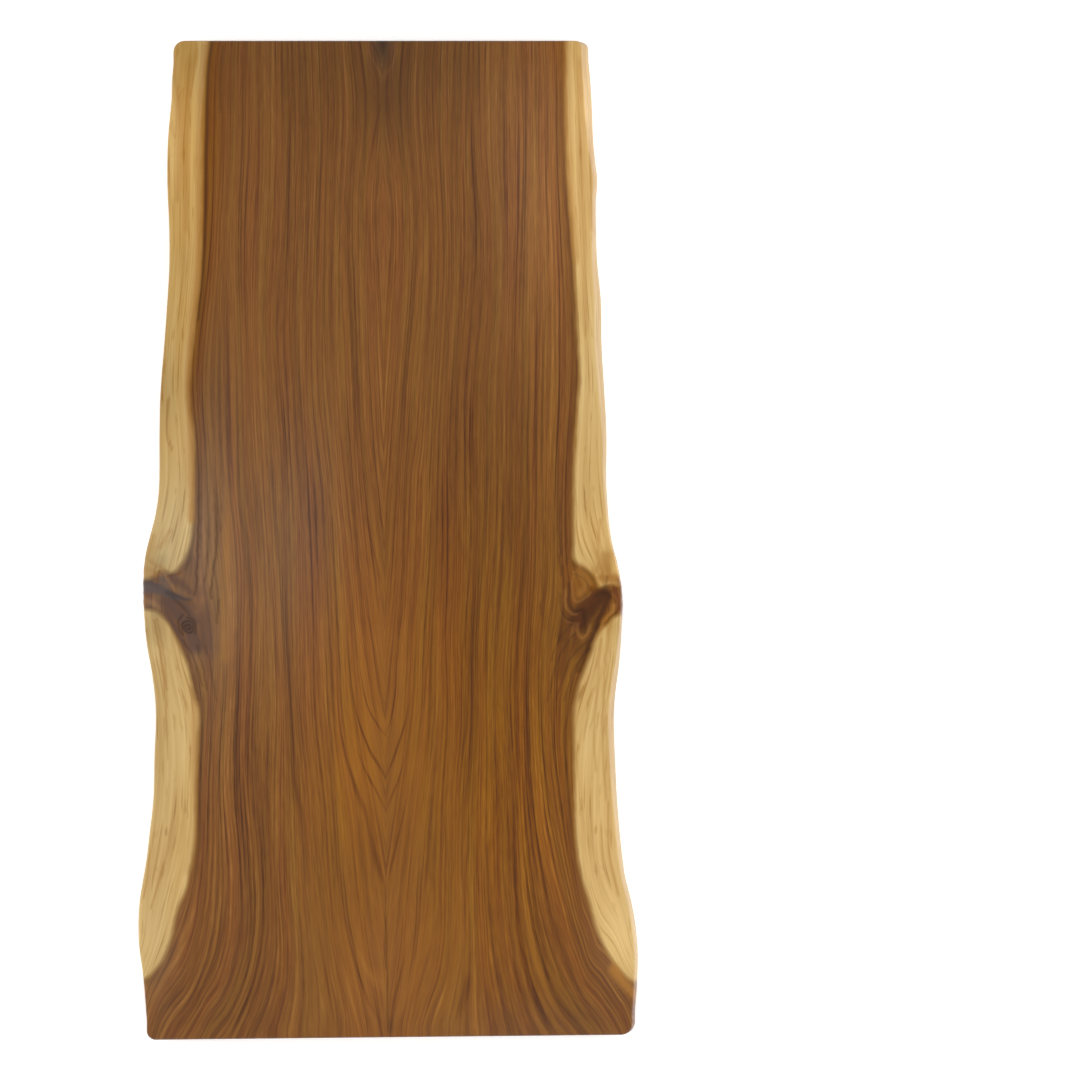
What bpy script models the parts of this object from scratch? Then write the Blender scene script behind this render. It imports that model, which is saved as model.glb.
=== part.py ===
"""Bookmatched suar tabletop: two live-edge boards of one log, glued along a straight middle seam.

Units are metres, +Z is up, +Y points to the head end and the underside rests on z = 0.
The origin is under the middle of the whole top. The two boards were neighbours in the log and
were opened like a book, so the right board's live edge flares out below its show face and the
left board's live edge runs back under it.
"""
import math
from dataclasses import dataclass

import bmesh
import bpy

MM = 0.001

# The whole top
THICKNESS = 0.050
HEAD_END = 0.9990        # from the middle to the head end, along the seam
FOOT_END = -0.9985
HEAD_SKEW = -0.0047      # rise of the end cut for each unit across: the ends aren't quite square
FOOT_SKEW = 0.0060
SEAM_X = -0.0040         # the right board is the wider one
SEAM_GAP = 0.0003        # glue line

# Rounding by hand tools
ARRIS_RADIUS = 0.003
ARRIS_STEPS = 2
CORNER_STEPS = 5
BELLY_LEVELS = (0.75, 0.50, 0.25)   # heights between the two arrises, as shares of the thickness
SLOPE_CURVE = 1.6        # how fast a live edge turns upright, away from its widest level
EDGE_STEPS = 84          # stations along a live edge

# Live edges in millimetres: (station from the middle towards the head end, reach from the seam)
LEFT_EDGE = (
    (972, 417), (930, 421), (880, 423), (842, 427), (792, 431), (712, 432), (631, 429),
    (551, 429), (481, 433), (391, 440), (291, 448), (221, 450), (121, 451), (81, 454),
    (41, 461), (1, 472), (-40, 481), (-80, 484), (-120, 484), (-160, 482), (-210, 477),
    (-276, 466), (-344, 460), (-430, 463), (-520, 466), (-581, 473), (-645, 481),
    (-721, 494), (-771, 497), (-821, 495), (-861, 489), (-921, 484), (-977, 480),
)
RIGHT_EDGE = (
    (968, 413), (918, 418), (858, 421), (798, 423), (754, 427), (718, 431), (678, 428),
    (607, 428), (553, 430), (477, 437), (387, 438), (297, 443), (207, 447), (116, 446),
    (46, 450), (-4, 456), (-44, 466), (-84, 474), (-124, 478), (-174, 476), (-244, 471),
    (-324, 461), (-375, 459), (-465, 462), (-545, 466), (-615, 472), (-679, 480),
    (-725, 491), (-775, 500), (-836, 505), (-876, 504), (-926, 501), (-966, 497),
)

# How far the narrower face stands back from the reach above, in millimetres, by station
LEFT_SETBACK = (
    (980, 12), (800, 10), (620, 8), (480, 12), (300, 13), (100, 9), (0, 5), (-120, 4),
    (-280, 10), (-440, 12), (-700, 9), (-980, 8),
)
RIGHT_SETBACK = (
    (980, 14), (880, 16), (800, 12), (700, 8), (620, 8), (480, 14), (300, 13), (200, 9),
    (20, 4), (-120, 3), (-280, 10), (-440, 12), (-560, 8), (-700, 8), (-980, 6),
)

SHARP_ANGLE = math.radians(35)   # edges steeper than this stay crisp
FINISH_ROUGHNESS = 0.42           # satin


@dataclass(frozen=True)
class Board:
    """One board of the pair, measured from its seam face."""

    name: str
    side: int                # -1 is left of the seam, +1 is right
    edge: tuple
    setback: tuple
    widest_on_top: bool
    head_radius: float       # rounded corners, seen from above
    foot_radius: float
    colour: tuple            # linear, of the heartwood


BOARDS = (
    Board("left_board", -1, LEFT_EDGE, LEFT_SETBACK, True, 0.023, 0.018, (0.220, 0.095, 0.033)),
    Board("right_board", 1, RIGHT_EDGE, RIGHT_SETBACK, False, 0.015, 0.023, (0.216, 0.089, 0.024)),
)


def clear_scene():
    """Remove whatever objects the open file holds."""
    for old in list(bpy.data.objects):
        bpy.data.objects.remove(old, do_unlink=True)


def smooth_value(points, station):
    """Read a smooth curve through (station, value) points, listed from head to foot."""
    last = len(points) - 1
    i = 0
    while i < last - 1 and station < points[i + 1][0]:
        i += 1

    def slope(k):
        before = points[max(k - 1, 0)]
        after = points[min(k + 1, last)]
        return (after[1] - before[1]) / (after[0] - before[0])

    (s0, v0), (s1, v1) = points[i], points[i + 1]
    span = s1 - s0
    t = min(max((station - s0) / span, 0.0), 1.0)
    start = (2 * t**3 - 3 * t**2 + 1) * v0 + (t**3 - 2 * t**2 + t) * span * slope(i)
    end = (3 * t**2 - 2 * t**3) * v1 + (t**3 - t**2) * span * slope(i + 1)
    return start + end


def reach(board, y, depth):
    """How far the board's live edge stands from the seam at y, at a share of the depth."""
    setback = smooth_value(board.setback, y / MM) * MM
    away = depth if board.widest_on_top else 1.0 - depth
    return smooth_value(board.edge, y / MM) * MM - setback * away**SLOPE_CURVE


def corner(board, end, depth):
    """Where a rounded corner's centre is, as (reach, y), and its radius: +1 head, -1 foot."""
    if end > 0:
        radius, end_y, skew, station = board.head_radius, HEAD_END, HEAD_SKEW, board.edge[0][0]
    else:
        radius, end_y, skew, station = board.foot_radius, FOOT_END, FOOT_SKEW, board.edge[-1][0]
    out = reach(board, station * MM, depth) - radius
    return out, end_y + skew * board.side * out - end * radius, radius


def ring(board, depth, inset):
    """Closed outline at one level, from the seam's foot round by the head end, as (x, y)."""
    points = [(0.0, FOOT_END + inset), (0.0, HEAD_END - inset)]
    quarter = math.pi / 2
    head_out, head_y, head_radius = corner(board, 1, depth)
    for k in range(CORNER_STEPS + 1):
        angle = quarter * (1 - k / CORNER_STEPS)
        arc = head_radius - inset
        points.append((head_out + arc * math.cos(angle), head_y + arc * math.sin(angle)))
    foot_out, foot_y, foot_radius = corner(board, -1, depth)
    for k in range(1, EDGE_STEPS):
        y = head_y + (foot_y - head_y) * k / EDGE_STEPS
        points.append((reach(board, y, depth) - inset, y))
    for k in range(CORNER_STEPS + 1):
        angle = quarter * k / CORNER_STEPS
        arc = foot_radius - inset
        points.append((foot_out + arc * math.cos(angle), foot_y - arc * math.sin(angle)))
    return [(board.side * x, y) for x, y in points]


def levels():
    """Heights of the rings and how far the rounded arris pulls each one in, top to bottom."""
    turns = [math.pi / 2 * k / ARRIS_STEPS for k in range(ARRIS_STEPS + 1)]
    arris = [(ARRIS_RADIUS * (1 - math.cos(a)), ARRIS_RADIUS * (1 - math.sin(a))) for a in turns]
    top = [(THICKNESS - drop, inset) for drop, inset in arris]
    belly = [(THICKNESS * share, 0.0) for share in BELLY_LEVELS]
    return top + belly + list(reversed(arris))


def board_mesh(board):
    """Loft the board through its rings and close the two flat faces."""
    bm = bmesh.new()
    rings = []
    for z, inset in levels():
        outline = ring(board, 1.0 - z / THICKNESS, inset)
        rings.append([bm.verts.new((x, y, z)) for x, y in outline])
    for upper, lower in zip(rings, rings[1:]):
        for i in range(len(upper)):
            j = (i + 1) % len(upper)
            bm.faces.new((upper[i], upper[j], lower[j], lower[i]))
    bm.faces.new(rings[0])
    bm.faces.new(rings[-1])
    bmesh.ops.recalc_face_normals(bm, faces=bm.faces)
    mesh = bpy.data.meshes.new(board.name)
    bm.to_mesh(mesh)
    bm.free()
    mesh.shade_smooth()
    mesh.set_sharp_from_angle(angle=SHARP_ANGLE)
    return mesh


def wood(board):
    """Sanded suar heartwood under a clear satin finish."""
    material = bpy.data.materials.new(board.name + "_wood")
    material.use_nodes = True
    shader = material.node_tree.nodes["Principled BSDF"]
    shader.inputs["Base Color"].default_value = (*board.colour, 1.0)
    shader.inputs["Roughness"].default_value = FINISH_ROUGHNESS
    shader.inputs["Metallic"].default_value = 0.0
    return material


def build():
    """Make both boards and set each against the glue line."""
    clear_scene()
    collection = bpy.data.collections.new("bookmatched_suar_tabletop")
    bpy.context.scene.collection.children.link(collection)
    for board in BOARDS:
        mesh = board_mesh(board)
        mesh.materials.append(wood(board))
        piece = bpy.data.objects.new(board.name, mesh)
        piece.location = (SEAM_X + board.side * SEAM_GAP / 2, 0.0, 0.0)
        collection.objects.link(piece)


build()
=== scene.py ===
"""Looks of the bookmatched suar tabletop: two live-edge boards of one log, opened like a book.

Meshes are in metres. The figure of the wood is drawn on the show face in millimetres, as points of
(station, reach): a station runs from the middle towards the head end, and a reach runs from the seam
towards the live edge. Each board's growth figure is a smooth surface through its growth lines, and it
is carried down through the thickness as rings round the pith, so that the ends, the live edges and
the underside show the rings that the face shows.
"""
import logging
import math
from dataclasses import dataclass
from enum import Enum
from typing import Any

import bpy
import numpy as np
from mathutils import Matrix, Vector, noise


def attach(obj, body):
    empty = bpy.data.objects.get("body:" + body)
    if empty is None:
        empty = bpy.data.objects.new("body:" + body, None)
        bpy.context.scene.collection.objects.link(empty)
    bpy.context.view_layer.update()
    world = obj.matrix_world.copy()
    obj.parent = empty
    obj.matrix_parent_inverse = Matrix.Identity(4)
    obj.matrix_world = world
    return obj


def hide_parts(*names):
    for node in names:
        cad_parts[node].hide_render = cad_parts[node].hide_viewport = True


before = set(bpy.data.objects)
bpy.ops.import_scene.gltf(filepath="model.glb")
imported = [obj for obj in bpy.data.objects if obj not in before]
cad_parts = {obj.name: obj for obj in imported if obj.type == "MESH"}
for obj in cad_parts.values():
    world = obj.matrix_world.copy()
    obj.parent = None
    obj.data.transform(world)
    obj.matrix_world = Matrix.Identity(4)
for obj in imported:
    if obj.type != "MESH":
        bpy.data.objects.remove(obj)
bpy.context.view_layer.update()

BODY = "root"
BAKE_MAP = "OFBake"
MM = 0.001

Points = tuple[tuple[float, float], ...]
Array = np.ndarray

log = logging.getLogger("tabletop")


class Side(Enum):
    """Which side of the seam a board lies on."""

    LEFT = -1
    RIGHT = 1


class Stain(Enum):
    """What a stroke of colour in the wood is. The value is the mesh attribute that carries it."""

    DUSK = "stain_dusk"      # purple-brown heartwood round a knot
    UMBER = "stain_umber"    # dark brown wood of a branch
    AMBER = "stain_amber"    # resin-stained sapwood
    PALE = "stain_pale"      # light fibres
    RED = "stain_red"        # bark pocket
    GREY = "stain_grey"      # iron-grey streak of a dead branch
    DARK = "stain_dark"      # nearly black lines


class Cast(Enum):
    """What a broad patch does to the colour: mostly the wood's own, but on the left board some patches are a painted
    sheen. The value is the mesh attribute that carries it.
    """

    LIGHT = "cast_light"     # lighter, or darker where its strength is negative
    GOLD = "cast_gold"       # in heartwood only
    VIOLET = "cast_violet"   # greyer and cooler, or more orange where its strength is negative
    CALM = "cast_calm"       # plainer, with fainter lines


@dataclass(frozen=True)
class GrowthLine:
    """One growth line on a board's show face, from the head end to the foot end."""

    ring: float              # rings count in millimetres of growth, from an early one
    points: Points


@dataclass(frozen=True)
class Stroke:
    """A line or a band of colour along a smooth path on the show face."""

    stain: Stain
    width: float             # millimetres from its middle to where it fades, at its first point
    strength: float
    points: Points
    end_width: float = 0.0   # the same at its last point, where it differs
    edge: float = 2.0        # how sharply its sides end
    rise: float = 0.0        # share of its length over which it comes up from nothing


@dataclass(frozen=True)
class Patch:
    """A broad, soft oval in which the wood's colour leans one way."""

    cast: Cast
    strength: float
    station: float
    reach: float
    half_length: float
    half_breadth: float


@dataclass(frozen=True)
class DarkLine:
    """A growth line that stands out, dark along part of its length."""

    ring: float
    station: float           # its middle
    half_length: float
    width: float             # in rings
    strength: float


def smooth_through(knots: Array, values: Array, where: Array) -> Array:
    """Read a smooth curve through given points.

    Args:
        knots: where the points are, in rising order.
        values: what the curve is there, one row for each knot.
        where: the places to read, which are held inside the knots.

    Returns:
        The curve's values, one row for each place.
    """
    knots = np.asarray(knots, float)
    values = np.asarray(values, float)
    places = np.clip(np.asarray(where, float), knots[0], knots[-1])
    slopes = np.gradient(values, knots, axis=0)
    left = np.clip(np.searchsorted(knots, places) - 1, 0, len(knots) - 2)
    span = knots[left + 1] - knots[left]
    share = (places - knots[left]) / span
    if values.ndim == 2:
        span = span[:, None]
        share = share[:, None]
    start = (2 * share**3 - 3 * share**2 + 1) * values[left]
    start_turn = (share**3 - 2 * share**2 + share) * span * slopes[left]
    end = (3 * share**2 - 2 * share**3) * values[left + 1]
    end_turn = (share**3 - share**2) * span * slopes[left + 1]
    return start + start_turn + end + end_turn


def read_along(points: Points, station: Array) -> Array:
    """Read a smooth curve through (station, value) points, listed from head to foot."""
    stations, values = np.array(points[::-1], float).T
    return smooth_through(stations, values, station)


def smooth_path(points: Points, spacing: float) -> Array:
    """Lay a smooth path through points that may turn back on themselves.

    Args:
        points: (station, reach) in millimetres.
        spacing: the longest step along the path.

    Returns:
        The path's points, one row each.
    """
    corners = np.array(points, float)
    if len(corners) < 3:
        knots = np.arange(len(corners), dtype=float)
        length = np.linalg.norm(corners[-1] - corners[0])
        steps = max(int(length / spacing), 1)
        return np.stack([np.interp(np.linspace(0, 1, steps + 1), knots, column) for column in corners.T], axis=1)
    runs = np.linalg.norm(np.diff(corners, axis=0), axis=1)
    knots = np.concatenate([[0.0], np.cumsum(np.sqrt(runs))])
    steps = max(int(runs.sum() / spacing), 2)
    return smooth_through(knots, corners, np.linspace(0.0, knots[-1], steps + 1))


def fade(values: Array, start: float, end: float) -> Array:
    """Rise smoothly from 0 at the start to 1 at the end."""
    share = np.clip((values - start) / (end - start), 0.0, 1.0)
    return share * share * (3 - 2 * share)


def distance_to_path(places: Array, path: Array) -> tuple[Array, Array]:
    """Measure how far places lie from a path.

    Args:
        places: the places, one row each.
        path: the path's points, one row each.

    Returns:
        Each place's distance, and how far along the path its nearest point lies, from 0 to 1.
    """
    best = np.full(len(places), np.inf)
    along = np.zeros(len(places))
    count = len(path) - 1
    for index in range(count):
        start = path[index]
        run = path[index + 1] - start
        share = np.clip(((places - start) @ run) / max(run @ run, 1e-9), 0.0, 1.0)
        gap = np.linalg.norm(places - start - share[:, None] * run, axis=1)
        nearer = gap < best
        best[nearer] = gap[nearer]
        along[nearer] = (index + share[nearer]) / count
    return best, along


class GrowthFigure:
    """Ring number over a board's show face, as a thin-plate surface through its growth lines."""

    LINE_STEP = 70.0         # millimetres between the places where a line holds the surface
    ALONG_WEIGHT = 0.35      # growth lines change this much more slowly along the board
    UNIT = 100.0
    SLACK = 0.02             # how far the surface may pass a point by to stay smooth
    BATCH = 4000

    def __init__(self, lines: tuple[GrowthLine, ...], seam: Points) -> None:
        """Fit the surface.

        Args:
            lines: the growth lines.
            seam: (station, ring) along the seam, where both boards agree.
        """
        places = [(station, 0.0) for station, _ in seam]
        rings = [ring for _, ring in seam]
        for line in lines:
            stations, reaches = np.array(line.points[::-1], float).T
            steps = max(int((stations[-1] - stations[0]) / self.LINE_STEP), 1)
            for station in np.linspace(stations[0], stations[-1], steps + 1):
                places.append((station, float(smooth_through(stations, reaches, [station])[0])))
                rings.append(line.ring)
        self.centres = self.scaled(np.array(places))
        count = len(self.centres)
        plane = np.column_stack([np.ones(count), self.centres])
        bent = self.kernel(self.centres) + np.eye(count) * self.SLACK
        system = np.block([[bent, plane], [plane.T, np.zeros((3, 3))]])
        self.weights = np.linalg.solve(system, np.concatenate([rings, np.zeros(3)]))

    def scaled(self, places: Array) -> Array:
        """Bring (station, reach) in millimetres to the surface's own units."""
        return places * [self.ALONG_WEIGHT, 1.0] / self.UNIT

    def kernel(self, places: Array) -> Array:
        """How much each centre bends the surface at each place."""
        gaps = np.linalg.norm(places[:, None] - self.centres[None], axis=2)
        return gaps**2 * np.log(np.maximum(gaps, 1e-6))

    def rings(self, places: Array) -> Array:
        """Read the ring number at places given as (station, reach)."""
        found = np.empty(len(places))
        for start in range(0, len(places), self.BATCH):
            batch = self.scaled(places[start:start + self.BATCH])
            bent = self.kernel(batch) @ self.weights[:-3]
            found[start:start + self.BATCH] = bent + self.weights[-3] + batch @ self.weights[-2:]
        return found


class SapBoundary:
    """Where heartwood ends and sapwood begins on a board's show face."""

    SPACING = 6.0
    FAR_OUT = 900.0          # a reach well past the live edge

    def __init__(self, borders: tuple[Points, ...]) -> None:
        """Smooth each stretch of the border, listed from head to foot."""
        self.paths = [smooth_path(border, self.SPACING) for border in borders]

    def depth(self, places: Array) -> Array:
        """Measure how far places lie inside the sapwood, in millimetres, below zero in heartwood."""
        gap = np.full(len(places), np.inf)
        inside = np.zeros(len(places), bool)
        for path in self.paths:
            gap = np.minimum(gap, distance_to_path(places, path)[0])
            far = [(path[-1][0], self.FAR_OUT), (path[0][0], self.FAR_OUT)]
            inside |= self.within(places, np.vstack([path, far]))
        return np.where(inside, gap, -gap)

    @staticmethod
    def within(places: Array, loop: Array) -> Array:
        """Say which places lie inside a closed loop, by counting the sides that they look past."""
        odd = np.zeros(len(places), bool)
        for start, end in zip(loop, np.roll(loop, -1, axis=0)):
            if start[0] == end[0]:
                continue
            spans = (start[0] > places[:, 0]) != (end[0] > places[:, 0])
            crossing = start[1] + (places[:, 0] - start[0]) * (end[1] - start[1]) / (end[0] - start[0])
            odd ^= spans & (places[:, 1] < crossing)
        return odd


@dataclass(frozen=True)
class LogSection:
    """Where the pith ran past a board, which tells how its rings go down through the thickness."""

    pith_offset: float = 110.0   # beyond the seam, away from the board
    pith_height: float = 110.0   # above the left board's face, below the right board's

    def face_reach(self, side: Side, reach: Array, depth: Array) -> Array:
        """Find where on the show face a point inside the board has its ring.

        Args:
            side: the board.
            reach: the point's reach from the seam, in millimetres.
            depth: how far it lies under the show face.

        Returns:
            The reach on the face.
        """
        height = self.pith_height
        rise = depth * (2 * height + depth) if side is Side.LEFT else -depth * (2 * height - depth)
        return np.sqrt(np.maximum((reach + self.pith_offset)**2 + rise, 1.0)) - self.pith_offset


class LiveEdge:
    """A board's live edge as its CAD solid has it."""

    FAR_SIDE = 0.25          # reach beyond which a corner of the solid is on the live edge
    SAME_LEVEL = 1e-5

    def __init__(self, node: str, side: Side, seam_x: float, levels: tuple[float, ...]) -> None:
        """Read the edge's outline at a few heights.

        Args:
            node: the CAD node.
            side: the board.
            seam_x: where the seam stands.
            levels: the heights to read, where the solid is at its full reach.
        """
        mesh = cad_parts[node].data
        corners = np.empty(len(mesh.vertices) * 3)
        mesh.vertices.foreach_get("co", corners)
        corners = corners.reshape(-1, 3)
        self.levels = sorted(levels)
        self.outlines = []
        for level in self.levels:
            reach = (corners[:, 0] - seam_x) * side.value
            here = (np.abs(corners[:, 2] - level) < self.SAME_LEVEL) & (reach > self.FAR_SIDE)
            outline = np.unique(np.round(np.column_stack([corners[here, 1], reach[here]]), 6), axis=0)
            self.outlines.append(outline[outline[:, 0].argsort()])

    def reach(self, stations: Array, height: float, head: float, foot: float) -> Array:
        """Read the reach of the edge at stations, at one height, between its two rounded corners."""
        columns = []
        for outline in self.outlines:
            straight = outline[(outline[:, 0] < head) & (outline[:, 0] > foot)]
            columns.append(smooth_through(straight[:, 0], straight[:, 1], stations))
        return smooth_through(np.array(self.levels), np.array(columns), [height])[0]


def hex_colour(code: str) -> tuple[float, float, float, float]:
    """Turn an sRGB hex value into a linear colour."""
    shares = [int(code[k:k + 2], 16) / 255 for k in (1, 3, 5)]
    linear = [s / 12.92 if s <= 0.04045 else ((s + 0.055) / 1.055)**2.4 for s in shares]
    return (*linear, 1.0)


class NodeBench:
    """A material's node tree and the one way that nodes are added to it."""

    def __init__(self, name: str) -> None:
        """Start an empty material."""
        self.material = bpy.data.materials.new(name)
        self.material.use_nodes = True
        self.tree = self.material.node_tree
        self.tree.nodes.clear()

    def add(self, kind: str, settings: dict[str, Any], inputs: dict[int | str, Any], output: int = 0) -> Any:
        """Add one node.

        Args:
            kind: the node's type.
            settings: its own settings by name.
            inputs: sockets to link from, or values, by socket.
            output: which of its outputs is wanted.

        Returns:
            That output, or None where the node has no output.
        """
        node = self.tree.nodes.new(kind)
        for name, value in settings.items():
            setattr(node, name, value)
        for socket, value in inputs.items():
            if isinstance(value, bpy.types.NodeSocket):
                self.tree.links.new(value, node.inputs[socket])
            else:
                node.inputs[socket].default_value = value
        return node.outputs[output] if node.outputs else None


@dataclass(frozen=True)
class LacqueredSuar:
    """Suar heartwood and sapwood, planed, sanded fine and sprayed with a clear satin lacquer.

    The heartwood gives the eye long brown lines that follow the rings, the sapwood a cream band with
    faint ones, and the lacquer a soft sheen that lies over both alike.
    """

    # Heartwood, from the darkest line to the lightest band
    heart_tones: tuple[str, ...] = ("#522a0a", "#6a3e17", "#7e4e1e", "#8e5d26", "#a4723a")
    # Sapwood, from its streaks to its clearest part
    sap_tones: tuple[str, ...] = ("#a97e40", "#c29a5b", "#d1ad6d", "#dcbd80", "#e8cf9a")
    border_colour: str = "#94682a"     # amber line between the two
    wane_tones: tuple[str, ...] = ("#a9854d", "#c3a06a", "#d3b380")   # the live edge, just under the bark
    red_tint: str = "#fff6fc"          # heartwood leans to red in some rings and to olive in others
    olive_tint: str = "#f9fff5"
    gold_tint: str = "#fff79c"
    # Added where patches are greyer: the wood's own cooler streaks, and on the left board a painted sheen.
    grey_and_sheen_tint: str = "#00292f"        # what a greyer patch has more of
    stains: tuple[tuple[Stain, str, str], ...] = (
        (Stain.DUSK, "MIX", "#60463a"), (Stain.UMBER, "MIX", "#4a2500"), (Stain.AMBER, "MIX", "#a8722f"),
        (Stain.PALE, "SCREEN", "#6e4a24"), (Stain.RED, "MIX", "#6a3412"), (Stain.GREY, "MIX", "#5e514d"),
        (Stain.DARK, "MULTIPLY", "#7d746a"),
    )
    ior: float = 1.5                   # lacquer
    roughness: float = 0.42            # satin
    # Sizes of the pattern in millimetres, across the grain and along it
    broad_band: tuple[float, float] = (46.0, 900.0)
    growth_band: tuple[float, float] = (12.0, 520.0)
    pencil_line: tuple[float, float] = (4.2, 420.0)
    bold_line: tuple[float, float] = (6.5, 700.0)
    fibre: tuple[float, float] = (3.2, 260.0)     # pores are 0.3 wide, drawn coarser to show at all
    pore: tuple[float, float] = (2.1, 42.0)
    wane_fibre: tuple[float, float] = (3.4, 130.0)
    hue_band: tuple[float, float] = (17.0, 700.0)
    broad_contrast: float = 0.36
    growth_contrast: float = 0.70
    pencil_contrast: float = 0.22
    bold_contrast: float = 0.29
    fibre_contrast: float = 0.85
    pore_contrast: float = 0.64

    def material(self, name: str, lines: tuple[DarkLine, ...]) -> bpy.types.Material:
        """Make the wood of one board.

        Args:
            name: the material's name.
            lines: the growth lines that stand out on that board.

        Returns:
            The material.
        """
        bench = NodeBench(name)
        add = bench.add
        names = ("ring", "fibre_line", "station", "sap_depth", "face_depth")
        ring, line, station, sap, depth = (
            add("ShaderNodeAttribute", {"attribute_name": label}, {}, 2) for label in names)
        tone, fibre = self.grain_tone(bench, ring, line, station, depth, lines)
        heart = self.toned(bench, tone, self.heart_tones)
        heart = self.hued(bench, heart, line, station, depth)
        sapwood = self.sapwood(bench, line, station, depth, fibre)
        colour = self.join_sapwood(bench, heart, sapwood, sap, station, ring)
        colour = self.cooled(bench, colour)
        colour = self.stained(bench, colour)
        colour = self.lightened(bench, colour)
        colour = self.end_grain_and_arris_shade(bench, colour, ring, depth)
        relief = add("ShaderNodeBump", {}, {"Strength": 0.35, "Distance": 0.00015, "Height": fibre})
        gloss = add("ShaderNodeMapRange", {}, {
            0: fibre, 1: 0.3, 2: 0.7, 3: self.roughness + 0.03, 4: self.roughness - 0.03})
        shader = add("ShaderNodeBsdfPrincipled", {}, {
            "Base Color": colour, "Roughness": gloss, "Normal": relief, "IOR": self.ior, "Metallic": 0.0})
        add("ShaderNodeOutputMaterial", {}, {"Surface": shader})
        return bench.material

    def noise(self, bench: NodeBench, ring: Any, station: Any, depth: Any,
              size: tuple[float, float], detail: float, seed: float) -> Any:
        """Add soft noise that is long along the grain and follows the rings through the thickness.

        Args:
            bench: the material's tree.
            ring: the ring socket.
            station: the station socket.
            depth: the socket of the depth under the face.
            size: its size across and along the grain, in millimetres.
            detail: how many finer octaves it has.
            seed: which of many such patterns it is.

        Returns:
            The noise from 0 to 1.
        """
        place = bench.add("ShaderNodeCombineXYZ", {}, {0: ring, 1: station, 2: depth})
        step = (1.0 / size[0], 1.0 / size[1], 1.0 / 90.0)
        place = bench.add("ShaderNodeVectorMath", {"operation": "MULTIPLY_ADD"}, {
            0: place, 1: step, 2: (seed * 13.7, seed * 5.3, seed * 9.1)})
        return bench.add("ShaderNodeTexNoise", {}, {"Vector": place, "Scale": 1.0, "Detail": detail, "Roughness": 0.55})

    def grain_tone(self, bench: NodeBench, ring: Any, line: Any, station: Any, depth: Any,
                   dark_lines: tuple[DarkLine, ...]) -> tuple[Any, Any]:
        """Work out how light the heartwood is at each place.

        Args:
            bench: the material's tree.
            ring: the ring socket.
            line: the socket of the fibre's line.
            station: the station socket.
            depth: the socket of the depth under the face.
            dark_lines: the growth lines that stand out.

        Returns:
            The tone from 0, dark, to 1, light, and the fibre pattern in it.
        """
        add = bench.add
        fibre = self.noise(bench, line, station, depth, self.fibre, 2.0, 3.0)
        layers = (
            (self.noise(bench, line, station, depth, self.broad_band, 1.0, 1.0), self.broad_contrast),
            (self.noise(bench, line, station, depth, self.growth_band, 2.0, 2.0), self.growth_contrast),
            (self.noise(bench, line, station, depth, self.pore, 2.0, 8.0), self.pore_contrast),
            (fibre, self.fibre_contrast),
        )
        tone = 0.0
        for pattern, contrast in layers:
            centred = add("ShaderNodeMath", {"operation": "SUBTRACT"}, {0: pattern, 1: 0.5})
            tone = add("ShaderNodeMath", {"operation": "MULTIPLY_ADD"}, {0: centred, 1: contrast, 2: tone})
        drawn = ((self.pencil_line, 4.0, 0.51, 0.63, self.pencil_contrast),
                 (self.bold_line, 7.0, 0.60, 0.72, self.bold_contrast))
        for size, seed, start, full, contrast in drawn:
            mark = self.noise(bench, line, station, depth, size, 1.0, seed)
            mark = add("ShaderNodeMapRange", {"interpolation_type": "SMOOTHSTEP"}, {
                0: mark, 1: start, 2: full, 3: 0.0, 4: contrast})
            tone = add("ShaderNodeMath", {"operation": "SUBTRACT"}, {0: tone, 1: mark})
        lively = self.liveliness(bench)
        tone = add("ShaderNodeMath", {"operation": "MULTIPLY_ADD"}, {0: tone, 1: lively, 2: 0.60})
        place = add("ShaderNodeCombineXYZ", {}, {0: ring, 1: station})
        for mark in dark_lines:
            scale = (1.0 / mark.width, 1.0 / mark.half_length, 0.0)
            start = (-mark.ring / mark.width, -mark.station / mark.half_length, 0.0)
            away = add("ShaderNodeVectorMath", {"operation": "MULTIPLY_ADD"}, {0: place, 1: scale, 2: start})
            away = add("ShaderNodeVectorMath", {"operation": "LENGTH"}, {0: away}, 1)
            dark = add("ShaderNodeMapRange", {"interpolation_type": "SMOOTHSTEP"}, {
                0: away, 1: 0.0, 2: 1.0, 3: mark.strength, 4: 0.0})
            tone = add("ShaderNodeMath", {"operation": "SUBTRACT"}, {0: tone, 1: dark})
        return tone, fibre

    def liveliness(self, bench: NodeBench) -> Any:
        """Tell how lively the figure is, from 1 down to 0 in the calmest wood."""
        calm = bench.add("ShaderNodeAttribute", {"attribute_name": Cast.CALM.value}, {}, 2)
        return bench.add("ShaderNodeMath", {"operation": "SUBTRACT"}, {0: 1.0, 1: calm})

    def hued(self, bench: NodeBench, colour: Any, line: Any, station: Any, depth: Any) -> Any:
        """Lean some bands of the heartwood to red, others to olive, and broad patches to gold."""
        band = self.noise(bench, line, station, depth, self.hue_band, 2.0, 9.0)
        share = bench.add("ShaderNodeMapRange", {}, {0: band, 1: 0.36, 2: 0.64, 3: 0.0, 4: 1.0})
        lean = bench.add("ShaderNodeMix", {"data_type": "RGBA"}, {
            0: share, 6: hex_colour(self.red_tint), 7: hex_colour(self.olive_tint)}, 2)
        colour = bench.add("ShaderNodeMix", {"data_type": "RGBA", "blend_type": "MULTIPLY"}, {
            0: self.liveliness(bench), 6: colour, 7: lean}, 2)
        gold = bench.add("ShaderNodeAttribute", {"attribute_name": Cast.GOLD.value}, {}, 2)
        return bench.add("ShaderNodeMix", {"data_type": "RGBA", "blend_type": "MULTIPLY"}, {
            0: gold, 6: colour, 7: hex_colour(self.gold_tint)}, 2)

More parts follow.
